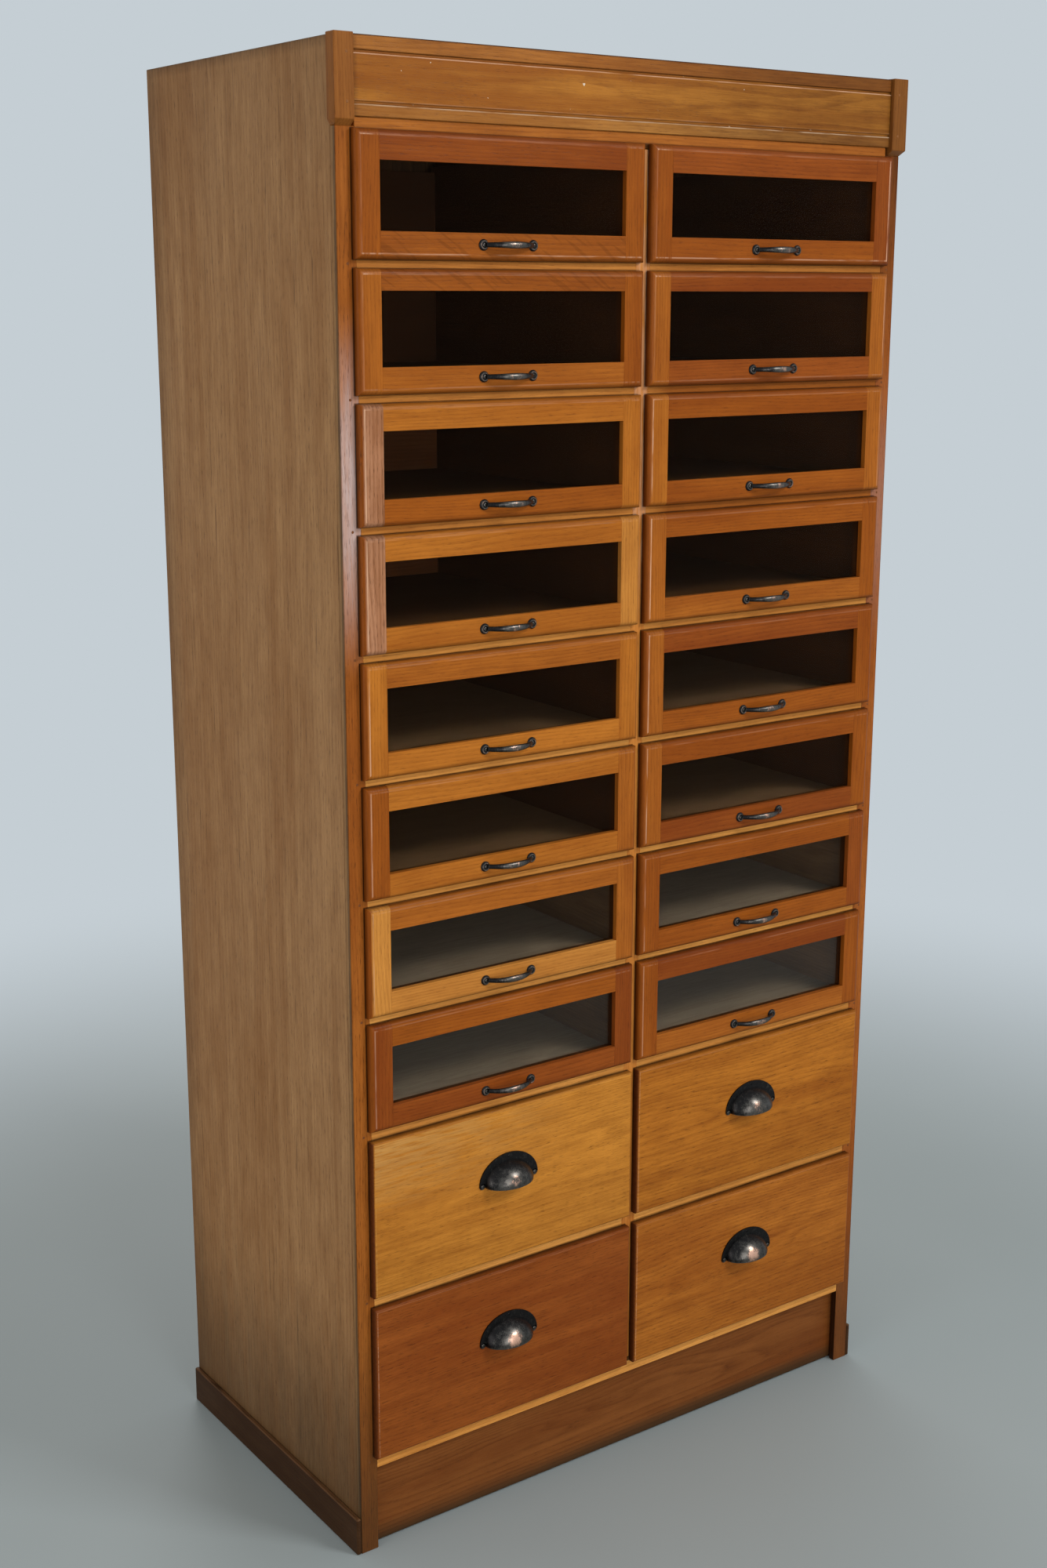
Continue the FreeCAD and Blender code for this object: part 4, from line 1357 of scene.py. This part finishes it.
@dataclass
class Drawer:
    """What every drawer has: its place, its box and its lipped front."""

    row: int
    side: Side
    half_width: float = 212.0       # of the opening
    front_face: float = -12.0
    lip_back: float = -1.5
    front_back: float = 10.0
    side_gap: float = 1.5
    top_gap: float = 2.5
    runner_gap: float = 0.3
    wood: float = 12.0
    back_thickness: float = 10.0
    back_drop: float = 8.0
    end: float = 470.0
    floor_low: float = 9.3
    floor: float = 5.0
    edge_round: float = 7.0
    shade: float = 0.1              # painted shade on the moulding down the left edge

    def __post_init__(self) -> None:
        """Read the drawer's place from its CAD node."""
        self.node = f"drawer_{self.row}_{self.side.label}"
        self.body = f"{self.node}_unit"
        low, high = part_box(self.node)
        self.x = (low.x + high.x) / 2 / MM
        self.foot, self.head, self.half = low.z / MM, high.z / MM, self.half_width + LIP    # of the front
        self.low, self.high = self.foot + LIP, self.head - LIP                              # of the opening
        self.outer = self.half_width - self.side_gap
        self.bottom = self.low + self.runner_gap
        self.top = self.high - self.top_gap
        self.middle = (self.low + self.high) / 2

    def grime(self, point: Vector) -> float:
        """Find how dirty a point is and how much painted shade it has, inside the box behind the front and
        most of all round the outer edge of the front.

        Args:
            point: The point.

        Returns:
            The amount, from zero to one.
        """
        if point.y > self.lip_back + 0.1:
            return 0.5 * step_up(point.y, self.end, self.front_back)
        inside = min(self.half - abs(point.x - self.x), point.z - self.foot, self.head - point.z)
        if inside > self.edge_round - 0.01:
            return 0.0
        depth = self.shade if self._on_left(point) else 0.3
        moulding = depth * step_up(point.y, self.front_face, self.front_face + 1.0)
        return moulding + 0.6 * step_up(point.y, self.front_face + 3.0, self.lip_back - 1.5)

    def _on_left(self, point: Vector) -> bool:
        """Tell whether a point is on the moulding down the left edge, up to its mitres."""
        inside = min(point.z - self.foot, self.head - point.z, self.edge_round)
        return point.y < self.lip_back + 0.1 and point.x - self.x + self.half < inside + 0.01

    def stain(self, point: Vector) -> float:
        """Find how much painted shade a point has on the left moulding, as a deeper colour."""
        return self._on_left(point) * step_up(point.y, self.front_face + 0.1, self.front_face + 0.8)

    def rub(self, point: Vector) -> float:
        """Find how worn a point is and how much painted highlight it has, along the arris between the face
        and its moulding.

        Args:
            point: The point.

        Returns:
            The amount, from zero to one.
        """
        if not near(point.y, self.front_face):
            return 0.0
        beside, level = self.half - self.edge_round, near(point.z, self.head - self.edge_round)
        corner = level and point.x < self.x - self.half_width + 20.0
        return max(RUB_AND_HIGHLIGHT.get(self.row, 0.4) * near(self.x - point.x, beside), 0.16 * level,
                   FAR_RUB_AND_HIGHLIGHT.get((self.row, self.side), 0.0) * near(point.x - self.x, beside),
                   FOOT_RUB_AND_HIGHLIGHT.get(self.row, 0.0) * near(point.z, self.foot + self.edge_round),
                   CORNER_RUB_AND_HIGHLIGHT.get(self.row, 0.0) * corner)

    def wooden(self, mesh: BMesh, part: str, finish: Oak, run: Run, facing: Facing = Facing.FRONT,
               cut: Cut = Cut.STRAIGHT) -> None:
        """Move a part across to its column and finish it.

        Args:
            mesh: The part, about X = 0.
            part: The last word of its name.
            finish: The oak it is made of.
            run: The direction of the grain.
            facing: The way its show face looks.
            cut: How it was sawn.
        """
        bmesh.ops.translate(mesh, vec=(self.x, 0, 0), verts=mesh.verts)
        board(mesh, f"{self.node}_{part}", self.node, finish, run, facing, cut, self.body, "drawer_oak",
              grime=self.grime, rub=self.rub, stain=self.stain)

    def build_box(self) -> None:
        """Build the sides, the bottom and the back."""
        # painted light and shade: the lower rows get the paler box wood, the upper rows the darker
        inner, pale = self.outer - self.wood, self.row >= LIT_ROW
        wood = LIT_BOX_WOOD if pale else BOX_WOOD
        for side in Side:
            mesh = block((side.value * self.outer, self.front_back, self.bottom),
                         (side.value * inner, self.end, self.top))
            ease(mesh, 0.6)
            self.wooden(mesh, f"side_{side.label}", wood, Run.BACK, Facing.SIDE)
        floor_top = self.low + self.floor_low + self.floor
        mesh = block((-inner, self.front_back, self.low + self.floor_low), (inner, self.end, floor_top))
        # painted shade: the upper rows get darker bottoms
        self.wooden(mesh, "bottom", BOTTOMS.get(self.row, GREY_BOTTOM), Run.ACROSS, Facing.TOP)
        mesh = block((-inner, self.end - self.back_thickness, floor_top),
                     (inner, self.end, self.top - self.back_drop))
        ease(mesh, 0.6)
        # painted shade: the backs of the top two rows are darkest
        self.wooden(mesh, "back", wood if pale else LIT_BACK if self.row > 2 else SHADED_BACK, Run.ACROSS)


@dataclass
class GlazedDrawer(Drawer):
    """A drawer whose front is four members round a pane of glass."""

    members: tuple[Oak, Oak, Oak, Oak] = (AMBER, AMBER, AMBER, AMBER)   # left, right, upper and lower
    member: float = 33.0
    upper_member: float = 33.0
    glass_face: float = -4.0
    glass: float = 3.0
    rebate: float = 8.0
    slack: float = 1.0
    bead: float = 6.0
    bead_thickness: float = 9.0

    def __post_init__(self) -> None:
        """Find half the width of the window, its sill and its lintel."""
        super().__post_init__()
        self.wide = self.half - self.member
        self.sill, self.lintel = self.foot + self.member, self.head - self.upper_member

    def build(self) -> None:
        """Build the front, the pane, its beads, the box and the pull."""
        left, right, upper, lower = self.members
        self._upright(Side.LEFT, left)
        self._upright(Side.RIGHT, right)
        self._cross(True, upper)
        self._cross(False, lower)
        grow, back = self.rebate - self.slack, self.glass_face + self.glass
        mesh = block((self.x - self.wide - grow, self.glass_face, self.sill - grow),
                     (self.x + self.wide + grow, back, self.lintel + grow))
        make_piece(mesh, f"{self.node}_pane", self.node, GLASS.get(self.row, Glass()).material(), self.body)
        self._beads(back, back + self.bead_thickness)
        self.build_box()
        BowPull(self, self.foot + 19.0).build()

    def _upright(self, side: Side, finish: Oak) -> None:
        """Build an upright member, rounded along its outer edge and both ends.

        Args:
            side: Which side.
            finish: Its oak.
        """
        outer, inner = side.value * self.half, side.value * self.wide
        stepped = side.value * (self.wide + self.rebate)
        low, high, face = self.foot, self.head, self.front_face
        mesh = prism([(outer, face, low), (inner, face, low), (inner, self.glass_face, low),
                      (stepped, self.glass_face, low), (stepped, self.lip_back, low),
                      (outer, self.lip_back, low)], (0, 0, high - low))
        round_over(mesh, self.edge_round, lambda point: near(point.y, face) and (
            near(point.x, outer) or near(point.z, low) or near(point.z, high)))
        ease(mesh, 0.35)
        rim = self.edge_round + ARRIS
        score(mesh, 0, outer - side.value * rim)
        score(mesh, 2, high - rim, low + rim)
        plug = block((side.value * self.outer, self.lip_back, self.bottom),
                     (stepped, self.front_back, self.top))
        self.wooden(joined(mesh, plug), f"member_{side.label}", finish, Run.UP)

    def _cross(self, upper: bool, finish: Oak) -> None:
        """Build a cross member, rounded along its outer edge.

        Args:
            upper: True for the one over the pane.
            finish: Its oak.
        """
        outer, inner, outward, deep = (self.head, self.lintel, 1, self.top) if upper else (
            self.foot, self.sill, -1, self.bottom)
        wide, stepped, face = self.wide, inner + outward * self.rebate, self.front_face
        mesh = prism([(-wide, face, outer), (-wide, face, inner), (-wide, self.glass_face, inner),
                      (-wide, self.glass_face, stepped), (-wide, self.lip_back, stepped),
                      (-wide, self.lip_back, outer)], (2 * wide, 0, 0))
        round_over(mesh, self.edge_round, lambda point: near(point.y, face) and near(point.z, outer))
        ease(mesh, 0.35)
        score(mesh, 2, outer - outward * (self.edge_round + ARRIS))
        plug = block((-wide - self.rebate, self.lip_back, stepped),
                     (wide + self.rebate, self.front_back, deep))
        self.wooden(joined(mesh, plug), "member_upper" if upper else "member_lower", finish, Run.ACROSS)

    def _beads(self, front: float, back: float) -> None:
        """Build the four beads that hold the pane.

        Args:
            front: Their depth at the pane.
            back: Their depth at the back.
        """
        wide, size = self.wide + self.rebate, self.bead
        low, high = self.sill - self.rebate, self.lintel + self.rebate
        strips = [block((-wide, front, low), (wide, back, low + size)),
                  block((-wide, front, high - size), (wide, back, high)),
                  block((-wide, front, low + size), (size - wide, back, high - size)),
                  block((wide - size, front, low + size), (wide, back, high - size))]
        # the beads take the darker box wood, as painted shade
        self.wooden(joined(*strips), "beads", BOX_WOOD, Run.ACROSS)


@dataclass
class PlainDrawer(Drawer):
    """A deep drawer with a one-piece front and a cup pull."""

    slab: Oak = SLAB_GOLD
    cut: Cut = Cut.CROWN
    edge_round: float = 3.5
    shade: float = 0.15
    copper: float = 0.6             # wearing and painted highlight of the pull
    sheen: float = 0.0              # painted sheen on the upper left corner

    def build(self) -> None:
        """Build the front, the box and the pull."""
        half, rim, middle = self.half, self.edge_round + ARRIS, self.middle
        mesh = block((-half, self.front_face, self.foot), (half, self.lip_back, self.head))
        round_over(mesh, self.edge_round, lambda point: near(point.y, self.front_face))
        score(mesh, 0, rim - half, -0.5 * half, 0.0, 0.5 * half, half - rim)
        score(mesh, 2, self.head - rim, (middle + self.high) / 2, middle, (middle + self.low) / 2)
        plug = block((-self.outer, self.lip_back, self.bottom), (self.outer, self.front_back, self.top))
        self.wooden(joined(mesh, plug), "slab", self.slab, Run.ACROSS, cut=self.cut)
        self.build_box()
        CupPull(self, middle + 6.0, wear=self.copper).build()

    def grime(self, point: Vector) -> float:
        """Find how dirty a point is and how much painted shade it has, a little darker towards the foot of
        the front.
        """
        lower = 0.12 * step_up(point.z, self.middle, self.low)
        return max(super().grime(point), lower * float(point.y < self.lip_back))

    def rub(self, point: Vector) -> float:
        """Find how worn a point is and how much painted highlight it has, along the arris, with a painted
        sheen over the upper left corner.

        Args:
            point: The point.

        Returns:
            The amount, from zero to one.
        """
        high = step_up(point.z, self.middle, self.high)
        left = step_up(point.x, self.x + 0.5 * self.half_width, self.x - self.half_width)
        return max(super().rub(point), self.sheen * high * left * float(point.y < self.front_face + 0.1))


# ---- studio -----------------------------------------------------------------------------------
# where each lamp hangs, the point that it faces, its width and height, and its power in watts
LAMPS = {
    "front_lamp": ((-0.8, -3.9, 1.3), (0.0, 0.0, 0.8), (1.3, 2.4), 42.0),
    "high_lamp": ((1.6, -3.2, 3.6), (0.0, -0.1, 0.6), (1.2, 1.0), 72.0),
    "left_lamp": ((-3.6, -0.6, 1.5), (-0.3, 0.0, 0.9), (2.0, 2.4), 22.0),
    "back_lamp": ((1.4, 3.6, 2.4), (0.0, 0.2, 0.9), (2.0, 2.4), 30.0),
}


@dataclass
class Studio:
    """A pale floor, soft lamps, a pale surround and the camera."""

    floor_tone: Display = (160, 170, 172)
    surround: Display = (197, 206, 212)
    camera_place: tuple[float, float, float] = (-1.69696, -2.34302, 1.70121)
    yaw: float = 35.4698
    pitch: float = -13.8306
    roll: float = 0.1189
    lens: float = 45.9143

    def build(self) -> None:
        """Build the floor, the lamps, the world and the camera."""
        bpy.context.scene.view_settings.view_transform = "Standard"
        self._floor()
        for name, (place, aim, size, power) in LAMPS.items():
            data = bpy.data.lights.new(name, "AREA")
            data.shape = "RECTANGLE"
            data.size, data.size_y = size
            data.energy = power
            turn = (Vector(aim) - Vector(place)).to_track_quat("-Z", "Y")
            self._put(name, data, place, turn.to_euler())
        self._world()
        data = bpy.data.cameras.new("camera")
        data.sensor_fit = "AUTO"
        data.sensor_width = 36.0
        data.lens = self.lens
        turn = Matrix.Rotation(math.radians(-self.yaw), 4, "Z") @ Matrix.Rotation(
            math.radians(90 + self.pitch), 4, "X") @ Matrix.Rotation(math.radians(self.roll), 4, "Z")
        bpy.context.scene.camera = self._put("camera", data, self.camera_place, turn.to_euler())

    def _put(self, name: str, data: bpy.types.ID, place: Sequence[float] = (0.0, 0.0, 0.0),
             turn: Sequence[float] = (0.0, 0.0, 0.0)) -> bpy.types.Object:
        """Put something into the scene.

        Args:
            name: Its name.
            data: Its mesh, lamp or camera.
            place: Where it stands or hangs.
            turn: How it is turned.

        Returns:
            The object.
        """
        made = bpy.data.objects.new(name, data)
        made.location = place
        made.rotation_euler = turn
        bpy.context.scene.collection.objects.link(made)
        return made

    def _floor(self) -> None:
        """Make a wide floor that fades into the surround."""
        mesh = bmesh.new()
        bmesh.ops.create_circle(mesh, cap_ends=True, radius=60.0, segments=96)
        data = bpy.data.meshes.new("studio_floor")
        mesh.to_mesh(data)
        mesh.free()
        data.materials.append(bpy.data.materials.new("floor_paint"))
        graph = Graph(data.materials[0])
        here = graph.here()
        darker = tuple(part - 8 for part in self.floor_tone)
        paint = graph.node("BsdfPrincipled", {
            "Base Color": graph.blend(graph.noise(here, 1.4, 3.0), self.floor_tone, darker),
            "Roughness": 0.55, "Specular IOR Level": 0.3})
        far = graph.node("Emission", {"Color": linear(self.surround)})
        away = graph.node("VectorMath", {0: here}, out="Value", operation="LENGTH")
        share = graph.between(away, 1.0, 2.9) * graph.sight()
        graph.end(graph.node("MixShader", {0: share, 1: paint, 2: far}))
        self._put("studio_floor", data)

    def _world(self) -> None:
        """Fill the world with pale light, which the camera sees as the surround."""
        world = bpy.data.worlds.new("studio_world")
        bpy.context.scene.world = world
        graph = Graph(world)
        seen = graph.node("Background", {"Color": linear(self.surround)})
        light = graph.node("Background", {"Color": (1.0, 0.97, 0.92, 1.0), "Strength": 0.5})
        graph.end(graph.node("MixShader", {0: graph.sight(), 1: light, 2: seen}), "World")


# ---- building ---------------------------------------------------------------------------------
# left, right, upper and lower member of each glazed drawer, left column then right
TONES = {
    1: ((AMBER, AMBER, RUSSET, RAYED), (AMBER, RUSSET, RUSSET, AMBER)),
    2: ((HONEY, AMBER, RAYED, HONEY), (HONEY, HONEY, RUSSET, RUSSET)),
    3: ((SHEEN_VEILED, GOLD, GOLD, AMBER), (GOLD, HONEY, AMBER, AMBER)),
    4: ((SHEEN_VEILED, STRAW, GOLD, GOLD), (HONEY, AMBER, AMBER, HONEY)),
    5: ((GOLD, GOLD, HONEY, GOLD), (HONEY, AMBER, RUSSET, AMBER)),
    6: ((AMBER, HONEY, GOLD, GOLD), (HONEY, AMBER, AMBER, RUSSET)),
    7: ((STRAW, HONEY, HONEY, STRAW), (AMBER, RUSSET, AMBER, AMBER)),
    8: ((RUSSET, RUSSET, AMBER, RUSSET), (AMBER, AMBER, RUSSET, HONEY)),
}
UPPER_MEMBERS = {1: 35.0, 2: 26.0}
# slab, cut, wearing and painted highlight of the pull, and painted sheen on the upper left corner of each
# plain drawer, in the same order
SLABS = {
    9: ((SLAB_STRAW, Cut.CROWN, 0.8, 0.42), (SLAB_GOLD, Cut.CROWN, 0.8, 0.0)),
    10: ((SLAB_RUSSET, Cut.STRAIGHT, 1.15, 0.0), (SLAB_HONEY, Cut.CROWN, 1.15, 0.0)),
}


def main() -> None:
    """Build the cabinet and its studio."""
    logging.basicConfig(level=logging.INFO, format="%(message)s")
    Crown().build()
    drawers: list[Drawer] = []
    for column, side in enumerate(Side):
        for row, tones in TONES.items():
            upper = UPPER_MEMBERS.get(row, 33.0)
            drawers.append(GlazedDrawer(row, side, members=tones[column], upper_member=upper))
        for row, slabs in SLABS.items():
            slab, cut, copper, sheen = slabs[column]
            drawers.append(PlainDrawer(row, side, slab=slab, cut=cut, copper=copper, sheen=sheen))
    for drawer in drawers:
        drawer.build()
    openings = [(drawer.low, drawer.high) for drawer in drawers[:len(drawers) // 2]]
    tops = [Casework.foot_line, *(low for low, _ in openings)]
    rails = list(zip([*(high for _, high in openings), Casework.plinth_height], tops))
    Carcass(rails).build()
    Grid(rails).build()
    Studio().build()


if __name__ == "__main__":
    main()
